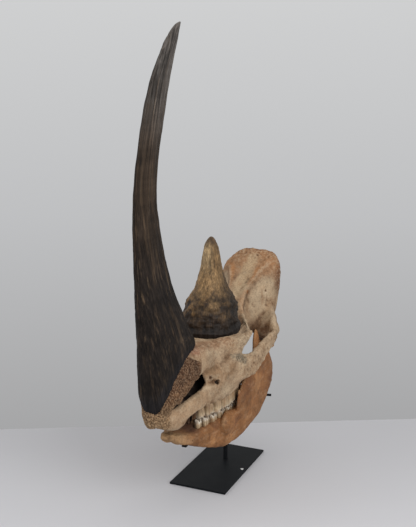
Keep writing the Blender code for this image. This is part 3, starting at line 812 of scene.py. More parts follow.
def colour_cranium(mesh, colours):
    fine = hollowness(mesh, FINE_ROUNDS)
    deep = hollowness(mesh, WIDE_ROUNDS)
    p = to_skull(read_points(mesh))
    side = folded(p)
    x, wide, z = side.T
    boss = boss_share(p)
    clouds = rough(p, 60, 4, 90)
    blotch = rough(p, 22, 4, 93)

    # the crest: warm tan with paler hollows and a darker rim
    crest = ramp(z + clouds * 16, 250, 310) * fall(x, 80, 170)
    band = fall(near_path(p, ((40, 14, 336), (95, 6, 292), (160, 6, 256))) - clouds * 6, 14, 30)
    hollow = fall(near_path(side, ((70, 72, 262), (110, 58, 222), (130, 62, 186))) - blotch * 5, 22, 42)
    streaks = ramp(rough(p * np.array((0.5, 0.9, 0.22)), 9, 3, 95), 0.25, 1.0) * fall(x, 150, 230)
    rear = fall(x - rough(p, 22, 2, 98) * 8, 0, 20)
    rim = ramp(wide, 90, 100) * fall(x, 24, 60) * ramp(z, 140, 190)
    corner = ramp(wide + blotch * 3, 86, 96) * ramp(z, 215, 260) * fall(x, 40, 70)
    low = fall(z - blotch * 5, 148, 184) * fall(x, 150, 200) * fall(wide, 98, 112)

    # the roof between the horns and the brow
    roof = fall(near_path(side, ((590, 30, 204), (503, 46, 203), (446, 84, 203))), 12, 32)
    speckle = ramp(rough(p, 4.5, 3, 99), 0.2, 0.9) * ramp(z, 150, 185) * ramp(x, 240, 330) * (1 - boss)
    tint = layered(
        colours.pale_bone,
        (colours.light_bone, ramp(clouds, -0.05, 0.8) * 0.75),
        (colours.tan_bone, fall(clouds, -0.9, -0.1) * 0.75),
        (colours.tan_bone, ramp(blotch, 0.2, 1.0) * 0.5),
        (colours.light_bone, fall(blotch, -1.0, -0.3) * 0.45),
        ((0.31, 0.168, 0.086), crest * 0.9),
        ((0.44, 0.315, 0.19), band * 0.8),
        ((0.46, 0.345, 0.225), hollow * 0.75),
        ((0.25, 0.135, 0.065), streaks * 0.5),
        ((0.34, 0.155, 0.06), fall(near_path(side, CREST_RIDGE) - blotch * 3, 2, 12) * 0.65),
        ((0.16, 0.065, 0.028), rear * 0.85),
        ((0.25, 0.125, 0.055), rim * 0.8),
        ((0.15, 0.058, 0.026), corner * 0.8),
        ((0.33, 0.165, 0.075), fall(near_spot(side, (20, 60, 345)) - clouds * 10, 20, 48) * 0.5),
        ((0.13, 0.062, 0.03), low * 0.8),
        ((0.27, 0.145, 0.078), roof * 0.75),
        ((0.30, 0.145, 0.095), fall(near_spot(side, (560, 36, 204)), 12, 34) * 0.7),
        ((0.17, 0.09, 0.045), speckle * 0.55),
    )

    # the boss: brown, paler low on the nose, with painted shade in its carved channels and pits
    nose_low = ramp(x, 640, 706) * fall(z, 60, 128)
    brown = layered(
        (0.17, 0.08, 0.034),
        ((0.28, 0.155, 0.078), ramp(rough(p, 12, 3, 33), 0.0, 0.9) * 0.7),
        ((0.10, 0.043, 0.02), ramp(z + rough(p, 20, 2, 35) * 12, 118, 160) * 0.75),
        ((0.38, 0.245, 0.13), nose_low * 0.8),
        # painted shade in the channels and pits carved by the same pattern
        ((0.028, 0.013, 0.007), boss_pattern(p) * (0.95 - 0.4 * nose_low)),
    )

    # the cheek, with painted shade in its pits, holes, hollows, slit and palate and between the tooth roots,
    # and painted highlight on raised relief
    bar = fall(near_path(side, ((560, 58, 66), (610, 58, 56), (660, 48, 48), (690, 40, 48))), 18, 30)
    grey = fall(near_path(side, GREY_PATCH) - rough(p, 6, 2, 79) * 2, 8, 15)
    roots = tooth_gaps(x) * fall(z, 26, 52) * ramp(wide, 40, 54) * ramp(x, 310, 330) * fall(x, 530, 545)
    opening = near_path(side, (FORAMEN, FORAMEN_INNER))
    palate = fall(wide, 30, 48) * fall(z, 50, 90) * ramp(x, 280, 330) * fall(x, 640, 690)
    tint = layered(
        tint,
        (brown, boss),
        ((0.39, 0.255, 0.15), bar * (1 - boss) * 0.6),
        # painted shade inside the deeper cheek pit
        ((0.085, 0.038, 0.018), fall(near_spot(side, (513, 70, 110)), 5, 9) * 0.85),
        ((0.20, 0.165, 0.115), grey * (0.6 + 0.4 * ramp(rough(p, 4, 2, 78), -0.3, 0.5))),
        ((0.36, 0.13, 0.035), fall(near_spot(p, (132, 34, 255)) - blotch, 3, 10) * 0.8),
        # painted shade in wide and fine hollows, then a painted highlight on raised relief
        ((0.12, 0.058, 0.028), ramp(deep, 0.4, 3.0) * 0.6),
        ((0.085, 0.042, 0.021), ramp(fine, 0.14, 0.8) * (0.5 + 0.3 * boss)),
        ((0.52, 0.40, 0.27), ramp(-fine, 0.14, 0.6) * (0.35 - 0.15 * boss)),
        # painted shade in the bone between the upper tooth roots, just above the teeth
        ((0.13, 0.066, 0.034), roots * 0.75),
        # painted shade around and inside the cheek nerve's hole
        ((0.13, 0.065, 0.03), fall(opening, 6.5, 9.5) * 0.7),
        ((0.008, 0.005, 0.004), fall(opening, 5.6, 6.9)),
        # painted shade inside the crest's two larger pits
        *(((0.06, 0.028, 0.014), fall(near_spot(p, spot), reach * 0.5, reach))
          for spot, reach in ((CREST_PITS[0][0], 4.2), (CREST_PITS[1][0], 4.6))),
        # painted shade under the palate, between the tooth rows
        ((0.06, 0.036, 0.032), palate * 0.85),
        # painted shade inside the nostril behind the slit
        ((0.010, 0.007, 0.006), inside_slit(p) * 0.95),
    )
    set_colour(mesh, "tint", tint)
    rough_brow = ramp(z, 150, 180) * ramp(x, 320, 360)
    porous = boss * 0.9 + rim * 0.5 + 0.15 + nose_low * 0.3 + rough_brow * 0.45
    set_value(mesh, "porous", np.clip(porous, 0, 1))


def carve_mandible(mesh):
    side = folded(to_skull(read_points(mesh)))
    soften(mesh, fall(near_path(side, ((402, 104, 0), (414, 98, -60))), 20, 34), 30)
    p = to_skull(read_points(mesh))
    side = folded(p)
    x, wide, z = side.T
    lift = rough(p, 30, 3, 101) * 0.9 + rough(p, 8, 2, 105) * 0.3

    # the rough chin and the muscle scars of the angle
    lift += ramp(x, 590, 640) * rough(p, 8, 3, 111) * 1.6
    lift += fall(x, 120, 190) * fall(z, -40, 20) * rough(p, 10, 3, 113) * 1.3
    lift = pitted(lift, side, JAW_PITS)
    lift -= fall(near_spot(side, (215, 112, 10)), 20, 70) * 3.5 * ramp(wide, 98, 108)
    groove = near_path(p + grain_vector(p, 12, 120) * 3, ((640, 8, 0), (600, 24, -22), (560, 46, -34)))
    lift -= 0.8 * fall(groove, 0.6, 2.4)
    for _, tooth_x, _, half, _ in LOWER_TEETH:
        swell = np.exp(-((x - tooth_x) / (half * 0.6)) ** 2) * ramp(z, -66, -48) * fall(z, -24, -8)
        lift += swell * 1.1
    raise_surface(mesh, lift)


def colour_mandible(mesh, colours):
    fine = hollowness(mesh, FINE_ROUNDS)
    deep = hollowness(mesh, WIDE_ROUNDS)
    p = to_skull(read_points(mesh))
    x, y, z = p.T
    clouds = rough(p, 48, 4, 130)
    blotch = rough(p, 15, 3, 137)
    streaks = rough(p * np.array((0.35, 1.0, 1.0)), 8, 3, 139)
    front = ramp(x, 560, 630)
    # painted shade on the upper outer side of the jaw, where the skull above overhangs it
    under = ramp(z + blotch * 6, -40, 10) * fall(near_path(p, ((404, 104, 10), (330, 110, 40))), 24, 52)
    # painted shade on the jaw's inner sides, between its two halves
    shaded_inner_side = fall(np.abs(y), 30, 60) * fall(x, 560, 600)
    tint = layered(
        colours.jaw_bone,
        ((0.40, 0.20, 0.085), ramp(clouds, 0.0, 0.8) * 0.7),
        ((0.17, 0.075, 0.036), fall(clouds, -1.0, -0.15) * 0.7),
        ((0.13, 0.058, 0.03), ramp(blotch, 0.45, 1.0) * 0.55),
        ((0.42, 0.27, 0.14), front * 0.6),
        ((0.15, 0.062, 0.028), fall(x - blotch * 8, 105, 215) * 0.7),
        ((0.16, 0.065, 0.03), under * 0.6),
        ((0.36, 0.22, 0.125), ramp(streaks, 0.2, 0.9) * 0.4),
        ((0.06, 0.033, 0.028), shaded_inner_side * 0.7),
        ((0.40, 0.17, 0.06), ramp(z, 40, 90) * 0.5),
        # painted shade in wide and fine hollows, then a painted highlight on raised relief
        ((0.09, 0.042, 0.025), ramp(deep, 0.5, 3.0) * 0.5),
        ((0.06, 0.03, 0.018), ramp(fine, 0.2, 0.9) * 0.5),
        ((0.50, 0.32, 0.17), ramp(-fine, 0.2, 0.8) * 0.35),
    )
    set_colour(mesh, "tint", tint)
    set_value(mesh, "porous", np.clip(front * 0.5 + 0.15, 0, 1))


# Teeth

# Points around a crown and rings up its wall
TOOTH_AROUND = 56
TOOTH_RINGS = 20


def tooth_mesh(name, x, y, half_length, half_width, sign, upper, seed):
    """A ridged crown on a plain root: outer wall folded upright, worn end cusped."""
    around, up = TOOTH_AROUND, TOOTH_RINGS
    wear = 2.0 + 2.0 * math.sin(seed * 2.3)
    low, high = (-8.0, 34.0) if upper else (-52.0, -8.5)
    tilt = 0.09 * math.sin(seed * 1.7)
    cosine, sine = circle(around)
    outer_sine = sine * sign
    outer = np.clip(outer_sine, 0, 1)
    power = 2.0 / 3.4
    cx = np.sign(cosine) * np.abs(cosine) ** power
    cy = np.sign(sine) * np.abs(sine) ** power
    ribs = (0.11 * np.cos(cx * 7.2 + seed) + 0.07 * np.cos(cx * 15.5 + seed * 2.1)) * outer ** 0.5
    gully = 0.10 * np.exp(-((cx - 0.12) / 0.16) ** 2) * np.clip(-outer_sine, 0, 1)
    fold = 1 - gully
    rings = []
    for i in range(up + 1):
        t = i / up
        z = high - (high - low) * t if upper else low + (high - low) * t
        neck = 0.86 + 0.14 * math.sin(math.pi * min(t * 1.25, 1.0) / 2)
        worn = 1.0 - 0.16 * max(0.0, (t - 0.86) / 0.14) ** 2
        px = x + cx * half_length * neck * worn * fold * 0.985 + (z - (8 if upper else -24)) * tilt
        py = y * sign + cy * half_width * neck * worn * (0.93 + ribs) * fold
        cusp = 0.0
        if t > 0.6:
            wave = 0.5 + 0.5 * np.cos(cx * math.pi * (1.5 if upper else 2.0) + seed)
            cusp = (t - 0.6) / 0.4 * (wave * (7.5 if upper else 8.5) + wear) * outer ** 0.7
        pz = z + cusp if upper else z - cusp
        rings.append(np.stack((px, py, np.broadcast_to(pz, px.shape)), axis=1))
    body = np.concatenate(rings)
    body += grain_vector(body, 5, seed * 13) * 0.35
    crown_middle = rings[-1].mean(axis=0)
    biting = []
    for inset, dip in ((0.82, 2.4), (0.62, 2.8), (0.4, 1.4), (0.18, 2.2)):
        loop = crown_middle + (rings[-1] - crown_middle) * inset
        loop[:, 2] += dip if upper else -dip
        biting.append(loop)
    hidden = around * len(biting)
    loops = up + 1 + len(biting)
    faces = ring_faces(loops, around)
    faces.append(tuple(range(around))[::-1])
    faces.append(tuple(range((loops - 1) * around, loops * around)))
    mesh = closed_mesh(name, np.concatenate([body] + biting), faces)

    share = np.concatenate((np.repeat(np.arange(up + 1) / up, around), np.full(hidden, 1.2)))
    fine = hollowness(mesh, 2)
    valleys = np.concatenate((np.tile(np.clip(-ribs * 9, 0, 1), up + 1), np.zeros(hidden)))
    place = to_skull(read_points(mesh))
    # painted shade at the tooth's front and rear ends, on its inner half, where it meets its neighbours
    between = ramp(np.abs(place[:, 0] - x) / half_length, 0.74, 0.98)
    between = between * ramp((y - np.abs(place[:, 1])) / half_width, -0.35, 0.35)
    set_colour(mesh, "tint", layered(
        (0.50, 0.375, 0.23),
        ((0.68, 0.61, 0.50), ramp(share, 0.62, 0.95) * (0.5 if upper else 0.95)),
        ((0.34, 0.22, 0.12), fall(share, 0.3, 0.66) * 0.7),
        ((0.22, 0.14, 0.09), ramp(share, 1.02, 1.2) * 0.6),
        # painted shade in the crown's fine hollows
        ((0.16, 0.09, 0.05), ramp(fine, 0.1, 0.5) * 0.75),
        ((0.27, 0.15, 0.07), valleys * (0.75 if upper else 0.5)),
        ((0.30, 0.17, 0.08), ramp(rough(place, 9, 3, 151), 0.15, 0.8) * 0.6),
        ((0.07, 0.035, 0.02), between * 0.8),
    ))
    return mesh


# Horns

# Rings of a horn, points around and along, quick and full
FRONT_GRID = ((96, 200), (176, 440))
REAR_GRID = ((96, 110), (200, 230))

# The front horn's skin lies this far inside its sections, in millimetres
FRONT_SUNK = 0.5

# Raised fibres: sides, share of the radius that is sunk, rings between points, rings kept free at the tip
FIBRE_SIDES = 6
FIBRE_SUNK = 0.35
FIBRE_STEP = 3
FIBRE_END = 6


def between_rows(rows, t):
    """Smooth curve through the rows of a table, t counted in rows."""
    last = len(rows) - 1
    i = min(int(t), last - 1)
    u = t - i
    p0, p1, p2, p3 = rows[max(i - 1, 0)], rows[i], rows[i + 1], rows[min(i + 2, last)]
    m1 = (p2 - p0) / 2
    m2 = (p3 - p1) / 2
    return ((2 * u ** 3 - 3 * u ** 2 + 1) * p1 + (u ** 3 - 2 * u ** 2 + u) * m1
            + (-2 * u ** 3 + 3 * u ** 2) * p2 + (u ** 3 - u ** 2) * m2)


def even_steps(rows, middle, count):
    """Row numbers that step evenly along the line through the sections' middles."""
    fine = np.linspace(0, len(rows) - 1, 600)
    line = np.array([middle(between_rows(rows, t)) for t in fine])
    length = np.concatenate(((0,), np.cumsum(np.linalg.norm(np.diff(line, axis=0), axis=1))))
    return np.interp(np.linspace(0, length[-1], count), length, fine), length[-1]


def front_middle(row):
    return np.array(((row[0] + row[2]) / 2, 0, (row[1] + row[3]) / 2))


def rear_middle(row):
    return np.array((row[1], 0, row[0]))


def front_section(row, cosine, sine):
    rear = np.array((row[0], 0.0, row[1]))
    front = np.array((row[2], 0.0, row[3]))
    along = (front - rear) / np.linalg.norm(front - rear)
    away = np.array((-along[2], 0.0, along[0]))
    reach = np.linalg.norm(front - rear) / 2
    cx = np.sign(cosine) * np.abs(cosine) ** (2 / row[6])
    cy = np.sign(sine) * np.abs(sine) ** (2 / row[6])
    middle = (rear + front) / 2
    points = (middle + np.outer(cx * reach, along) + np.outer(cy * row[4], (0, 1, 0))
              + np.outer(row[5] * (1 - cx * cx), away))
    return points, np.stack((cx * reach, cy * row[4]), axis=1)


def rear_section(row, cosine, sine):
    across = np.stack((cosine * row[2], sine * row[3]), axis=1)
    return np.stack((row[1] + across[:, 0], across[:, 1], np.full(len(cosine), row[0])), axis=1), across


def horn_grid(rows, section, middle, around, count):
    """Points of a horn as rings, each point's place across and along the horn, and the horn's length."""
    steps, length = even_steps(rows, middle, count)
    sections = [section(between_rows(rows, t), *circle(around)) for t in steps]
    rings = np.array([points for points, _ in sections])
    across = np.array([place for _, place in sections])
    height = np.broadcast_to(np.linspace(0, length, count)[:, None, None], across.shape[:2] + (1,))
    return rings, np.concatenate((across, height), axis=2), length


def grid_normals(rings):
    around = np.roll(rings, -1, axis=1) - np.roll(rings, 1, axis=1)
    along = np.gradient(rings, axis=0)
    normals = np.cross(around, along)
    size = np.linalg.norm(normals, axis=2, keepdims=True)
    return normals / np.maximum(size, 1e-9)


def raised_rings(rings, lift):
    return rings + grid_normals(rings) * lift.reshape(rings.shape[:2])[:, :, None]


def grid_mesh(name, rings):
    count, around = rings.shape[:2]
    faces = ring_faces(count, around)
    base = count * around
    for i in range(around):
        j = (i + 1) % around
        faces.append((base, j, i))
        faces.append((base + 1, (count - 1) * around + i, (count - 1) * around + j))
    ends = np.stack((rings[0].mean(axis=0), rings[-1].mean(axis=0)))
    return closed_mesh(name, np.concatenate((rings.reshape(-1, 3), ends)), faces)


def grooves(points, size, seed, sharp=3):
    """Narrow lines, 1 in their middle."""
    return np.clip(1 - np.abs(grain(points, size, seed)) * sharp, 0, 1)


def front_horn_points(around, count):
    rings, fibre, length = horn_grid(FRONT_HORN, front_section, front_middle, around, count)
    flat = fibre.reshape(-1, 3)
    v = flat[:, 2]
    stretched = flat * np.array((1, 1, 0.045))

    # long grooves and ribs, then growth ledges and the chipped foot
    lift = -1.1 * grooves(stretched, 5.5, 201)
    lift += rough(stretched, 11, 2, 207) * 0.75
    lift -= 0.45 * grooves(stretched * np.array((1, 1, 0.8)), 2.6, 215)
    lift += rough(flat * np.array((0.3, 0.3, 1)), 42, 2, 221) * 0.8
    lift += 0.45 * np.sin(v / 13.0 + rough(flat, 60, 2, 225) * 2.0) * fall(v, 60, 520)
    lift += fall(v, 6, 60) * rough(flat, 9, 3, 231) * 1.2
    lift *= fall(v, length - 60, length) * 0.75 + 0.25
    return raised_rings(rings, lift - FRONT_SUNK), fibre, lift


def rear_horn_points(around, count):
    rings, fibre, length = horn_grid(REAR_HORN, rear_section, rear_middle, around, count)
    flat = fibre.reshape(-1, 3)
    v = flat[:, 2]
    angle = np.arctan2(flat[:, 1], flat[:, 0])
    upper = ramp(v, 95, 130)

    # lumps below, grooves above, a waist between them
    lumps = rough(flat * np.array((1, 1, 1.25)), 30, 3, 251)
    lift = lumps * 6.5 * (1 - upper) * ramp(v, 22, 40) * fall(v, 95, 125)
    stretched = flat * np.array((1, 1, 0.06))
    lift -= 1.3 * grooves(stretched, 5.0, 261) * (0.35 + 0.65 * upper)
    lift += rough(stretched, 9, 2, 265) * 0.8
    lift += rough(flat, 7, 3, 271) * 0.7
    lift -= 2.2 * np.exp(-((v - 106 - 9 * np.sin(angle * 2 + 0.6)) / 9) ** 2)

    # the lip of the base, and its uneven lower edge
    lift += np.exp(-((v - 20) / 5.0) ** 2) * 2.2 - 2.4 * np.exp(-((v - 33) / 7.0) ** 2)
    lift *= fall(v, length - 26, length) * 0.75 + 0.25
    rings = raised_rings(rings, lift)
    sag = 4.5 * np.cos(angle * 2.0 + 0.4) + 2.5 * np.sin(angle * 5.0)
    rings[:, :, 2] += (sag * fall(v, 10, 60) * 0.6).reshape(rings.shape[:2])
    return rings, fibre, lift, length


def store_horn_looks(mesh, tint, flat):
    """Keeps the tint and each point's place along the fibres, also for the two end points."""
    for write, name, values in ((set_colour, "tint", tint), (set_vector, "fibre_place", flat * MM)):
        write(mesh, name, np.concatenate((values, values[:1], values[-1:])))


def colour_front_horn(mesh, fibre, lift, colours):
    flat = fibre.reshape(-1, 3)
    v = flat[:, 2]
    stretched = flat * np.array((1, 1, 0.022))
    height = v + rough(flat * np.array((1, 1, 0.3)), 60, 2, 279) * 60
    light = ramp(rough(stretched, 7, 3, 281), 0.3, 1.0)
    # painted shade towards the horn's rear edge, from low to middle height
    shaded_horn_edge = fall(flat[:, 0], -70, 0) * fall(v, 250, 430) * ramp(v, 70, 160)
    store_horn_looks(mesh, layered(
        colours.dark_horn,
        ((0.047, 0.031, 0.020), ramp(height, 260, 560) * 0.85),
        ((0.098, 0.087, 0.079), ramp(height, 600, 900) * 0.9),
        ((0.070, 0.046, 0.028), light * fall(v, 560, 700) * 0.8),
        ((0.15, 0.13, 0.115), light * ramp(v, 620, 800) * 0.5),
        ((0.12, 0.080, 0.045), ramp(grain(stretched, 3.4, 285), 0.5, 0.9) * 0.35),
        # painted shade in the sunk grooves
        ((0.008, 0.006, 0.005), fall(lift, -1.2, -0.3) * 0.6),
        ((0.013, 0.0115, 0.012), fall(v - rough(flat, 20, 2, 289) * 9, 24, 58) * 0.9),
        ((0.010, 0.008, 0.007), shaded_horn_edge * 0.4),
    ), flat)


def colour_rear_horn(mesh, fibre, lift, length, colours):
    flat = fibre.reshape(-1, 3)
    v = flat[:, 2]
    angle = np.arctan2(flat[:, 1], flat[:, 0])
    mottle = rough(flat, 19, 4, 301)
    # the pale upper part, with a painted highlight high on its front right side
    pale = layered(
        colours.rear_pale_horn,
        ((0.13, 0.075, 0.03), ramp(rough(flat * np.array((1, 1, 0.10)), 16, 3, 311), 0.0, 1.0) * 0.75),
        ((0.40, 0.29, 0.16), ramp(v, 165, 230) * ramp(np.cos(angle + 0.5), 0.3, 0.9) * 0.6),
    )
    # painted shade on the horn's left rear side, weaker higher up
    shade = ramp(np.cos(angle - 1.9), 0.15, 0.95)
    store_horn_looks(mesh, layered(
        colours.rear_dark_horn,
        ((0.115, 0.064, 0.026), ramp(mottle, 0.0, 0.7) * ramp(v, 40, 80) * 0.9),
        ((0.20, 0.11, 0.042), ramp(mottle, 0.35, 1.0) * ramp(v, 55, 95) * 0.8),
        (pale, ramp(v + rough(flat, 30, 3, 305) * 34, 70, 165)),
        ((0.022, 0.015, 0.010), shade * (0.75 - 0.45 * ramp(v, 130, 200))),
        ((0.06, 0.034, 0.019), ramp(v, length - 30, length - 10) * 0.8),
        ((0.014, 0.010, 0.008), fall(v - mottle * 8, 26, 46) * 0.9),
        # painted shade in the sunk waist and grooves
        ((0.010, 0.007, 0.005), fall(lift, -3.2, -0.8) * 0.7),
    ), flat)


def strand_tree():
    """Geometry Nodes: a tapering fibre along each guide line."""
    tree = bpy.data.node_groups.new("horn_strands", "GeometryNodeTree")
    for name, way, kind, value in (
        ("Geometry", "INPUT", "Geometry", None), ("Strand radius", "INPUT", "Float", 0.0009),
        ("Wander", "INPUT", "Float", 0.0012), ("Sides", "INPUT", "Int", 6), ("Seed", "INPUT", "Int", 11),
        ("Material", "INPUT", "Material", None), ("Geometry", "OUTPUT", "Geometry", None),
    ):
        socket = tree.interface.new_socket(name, in_out=way, socket_type="NodeSocket" + kind)
        if value is not None:
            socket.default_value = value

    def step(kind, inputs, output=0, **settings):
        return add_node(tree, kind, inputs, **settings).outputs[output]

    given = add_node(tree, "NodeGroupInput").outputs
    guide = step("GeometryNodeMeshToCurve", {"Mesh": given["Geometry"]}, "Curve")
    noise = step("ShaderNodeTexNoise", {"Scale": 9.0, "Detail": 2.0, "W": given["Seed"]}, "Color",
                 noise_dimensions="4D")
    centred = step("ShaderNodeVectorMath", {0: noise, 1: (0.5, 0.5, 0.5)}, operation="SUBTRACT")
    drift = step("ShaderNodeVectorMath", {0: centred, "Scale": given["Wander"]}, operation="SCALE")
    moved = step("GeometryNodeSetPosition", {"Geometry": guide, "Offset": drift}, "Geometry")
    place = step("GeometryNodeSplineParameter", {}, "Factor")
    arch = step("ShaderNodeMath", {0: place, 1: 0.5}, operation="PINGPONG")
    taper = step("ShaderNodeMath", {0: arch, 1: 0.5}, operation="POWER")
    luck = step("FunctionNodeRandomValue", {2: 0.6, 3: 1.5, "Seed": given["Seed"]}, 1, data_type="FLOAT")
    per_curve = step("GeometryNodeFieldOnDomain", {0: luck}, domain="CURVE")
    size = step("ShaderNodeMath", {0: taper, 1: per_curve}, operation="MULTIPLY")
    radius = step("ShaderNodeMath", {0: size, 1: given["Strand radius"]}, operation="MULTIPLY")
    profile = step("GeometryNodeCurvePrimitiveCircle", {"Radius": 1.0, "Resolution": given["Sides"]}, "Curve")
    tube = step("GeometryNodeCurveToMesh",
                {"Fill Caps": True, "Curve": moved, "Scale": radius, "Profile Curve": profile}, "Mesh")
    real = step("GeometryNodeRealizeInstances", {"Geometry": tube}, "Geometry")
    coat = step("GeometryNodeSetMaterial", {"Geometry": real, "Material": given["Material"]}, "Geometry")
    add_node(tree, "NodeGroupOutput", {"Geometry": coat})
    return tree


def strands_mesh(name, rings, fibre, count, starts, lengths, radius, wander, seed, material):
    """Guide lines laid in the horn's surface, grown into fibres; starts and lengths are counted in rings."""
    draw = np.random.default_rng(seed)
    total, around = rings.shape[:2]
    normals = grid_normals(rings)
    points, edges, places = [], [], []
    for _ in range(count):
        column = int(draw.integers(around))
        start = int(draw.integers(*starts))
        stop = min(start + int(draw.integers(*lengths)), total - FIBRE_END)
        first = len(points)
        for r in range(start, stop, FIBRE_STEP):
            points.append(rings[r, column] - normals[r, column] * radius / MM * FIBRE_SUNK)
            places.append(fibre[r, column])
        edges += [(k, k + 1) for k in range(first, len(points) - 1)]
    mesh = bpy.data.meshes.new(name + "_guides")
    mesh.from_pydata(to_world(np.array(points)).tolist(), edges, [])
    set_vector(mesh, "fibre_place", np.array(places) * MM)
    guides = linked(name + "_guides", mesh)
    modifier = guides.modifiers.new("strands", "NODES")
    modifier.node_group = strand_tree()
    values = {"Strand radius": radius, "Wander": wander, "Sides": FIBRE_SIDES, "Seed": seed,
              "Material": material}
    for item in modifier.node_group.interface.items_tree:
        if item.item_type == "SOCKET" and item.in_out == "INPUT" and item.name in values:
            modifier[item.identifier] = values[item.name]
    return plain_mesh(guides, name)


# Settings


class SkullSizes(bpy.types.PropertyGroup):
    bone_voxel: FloatProperty(
        name="Bone grid", description="Edge length of the bones' even skin", default=0.0030, min=0.002,
        subtype="DISTANCE", unit="LENGTH")
    evening: IntProperty(
        name="Evening rounds", description="Rounds that take the flat facets out of the bones", default=26)
    cranium_share: FloatProperty(
        name="Cranium share", description="Share of the cranium's triangles that is kept", default=0.66,
        min=0.1, max=1.0, subtype="FACTOR")
    strand_radius: FloatProperty(
        name="Horn fibre radius", description="Half thickness of the raised fibres on the horns",
        default=0.0011, subtype="DISTANCE", unit="LENGTH")
    strand_count: IntProperty(
        name="Horn fibres", description="Raised fibres on the front horn", default=150)
    spot_size: FloatProperty(
        name="Spot size", description="Length of the small blank pale spot on the base plate",
        default=0.0125, subtype="DISTANCE", unit="LENGTH")


class SkullColours(bpy.types.PropertyGroup):
    pale_bone: FloatVectorProperty(
        name="Pale bone", description="Main colour of the cranium", default=(0.36, 0.245, 0.15),
        subtype="COLOR")
    light_bone: FloatVectorProperty(
        name="Light bone", description="Lighter clouds of the cranium", default=(0.46, 0.345, 0.225),
        subtype="COLOR")
    tan_bone: FloatVectorProperty(
        name="Tan bone", description="Darker clouds of the cranium", default=(0.25, 0.15, 0.08),
        subtype="COLOR")
    jaw_bone: FloatVectorProperty(
        name="Jaw bone", description="Main colour of the lower jaw", default=(0.275, 0.125, 0.05),
        subtype="COLOR")
    dark_horn: FloatVectorProperty(
        name="Dark horn", description="Main colour of the front horn", default=(0.017, 0.0125, 0.010),
        subtype="COLOR")
    rear_dark_horn: FloatVectorProperty(
        name="Rear horn, dark", description="Lower part of the rear horn", default=(0.034, 0.021, 0.013),
        subtype="COLOR")
    rear_pale_horn: FloatVectorProperty(
        name="Rear horn, pale", description="Upper part of the rear horn", default=(0.27, 0.165, 0.075),
        subtype="COLOR")


def sizes():
    return bpy.context.scene.skull_sizes


def shades():
    return bpy.context.scene.skull_colours


# Operators


def finish_horn(name, keratin, mesh, fibre_mesh, fibre_tint):
    """The horn's surface stands for its solid; the raised fibres are an extra piece on it."""
    finish_piece(new_object(name + "_surface", mesh, keratin), [name])
    set_colour(fibre_mesh, "tint", fibre_tint)
    finish_piece(new_object(name + "_fibres", fibre_mesh, keratin), [])


def rings_between(count, low, high):
    """A range of ring numbers, given as shares of the horn's length."""
    return int(count * low), int(count * high)


class SKULL_OT_cranium(bpy.types.Operator):
    """Grows the cranium's fine skin and carves its pits, scars and seams"""

    bl_idname = "skull.cranium"
    bl_label = "Cranium"

    def execute(self, context):
        voxel = sizes().bone_voxel * 1.0
        bulk = bone_bulk("cranium", CRANIUM_KNOBS, UPPER_TEETH, UPPER_ROOT)
        mesh = grown_mesh(bulk, "cranium_bone_surface", voxel, sizes().evening)
        p = to_skull(read_points(mesh))
        side = folded(p)
        near_relief = (near_spot(side, FORAMEN) < 16) | (near_path(side, GREY_PATCH) < 14)
        refine(mesh, (boss_share(p) > 0.25) | near_relief)
        carve_cranium(mesh)
        mesh = thinned(mesh, sizes().cranium_share)
        colour_cranium(mesh, shades())
        bone = bone_material("pale_tan_bone", (0.09, 0.05, 0.03), (0.25, 0.155, 0.085))
        finish_piece(new_object("cranium_bone_surface", mesh, bone), ["cranium"])
        return {"FINISHED"}


class SKULL_OT_mandible(bpy.types.Operator):
    """Grows the lower jaw's fine skin and carves it"""

    bl_idname = "skull.mandible"
    bl_label = "Lower jaw"

    def execute(self, context):
        voxel = sizes().bone_voxel * 0.9
        bulk = bone_bulk("mandible", MANDIBLE_KNOBS, LOWER_TEETH, LOWER_ROOT)
        mesh = grown_mesh(bulk, "mandible_bone_surface", voxel, sizes().evening)
        carve_mandible(mesh)
        colour_mandible(mesh, shades())
        bone = bone_material("orange_brown_bone", (0.05, 0.025, 0.015), (0.11, 0.05, 0.025))
        finish_piece(new_object("mandible_bone_surface", mesh, bone), ["mandible"])
        return {"FINISHED"}


class SKULL_OT_teeth(bpy.types.Operator):
    """Builds every cheek tooth with its folded wall and worn cusps"""

    bl_idname = "skull.teeth"
    bl_label = "Cheek teeth"

    def execute(self, context):
        enamel = enamel_material()
        for prefix, row, first_seed in (("upper", UPPER_TEETH, 0), ("lower", LOWER_TEETH, 20)):
            for side, sign, step in (("left", 1, 1), ("right", -1, 2)):
                for i, (name, x, y, half_length, half_width) in enumerate(row):
                    node_name = f"{prefix}_{name}_{side}"
                    mesh = tooth_mesh(f"{node_name}_crown", x, y, half_length, half_width, sign,
                                      prefix == "upper", i * 3 + step + first_seed)
                    finish_piece(new_object(f"{node_name}_crown", mesh, enamel), [node_name])
        return {"FINISHED"}


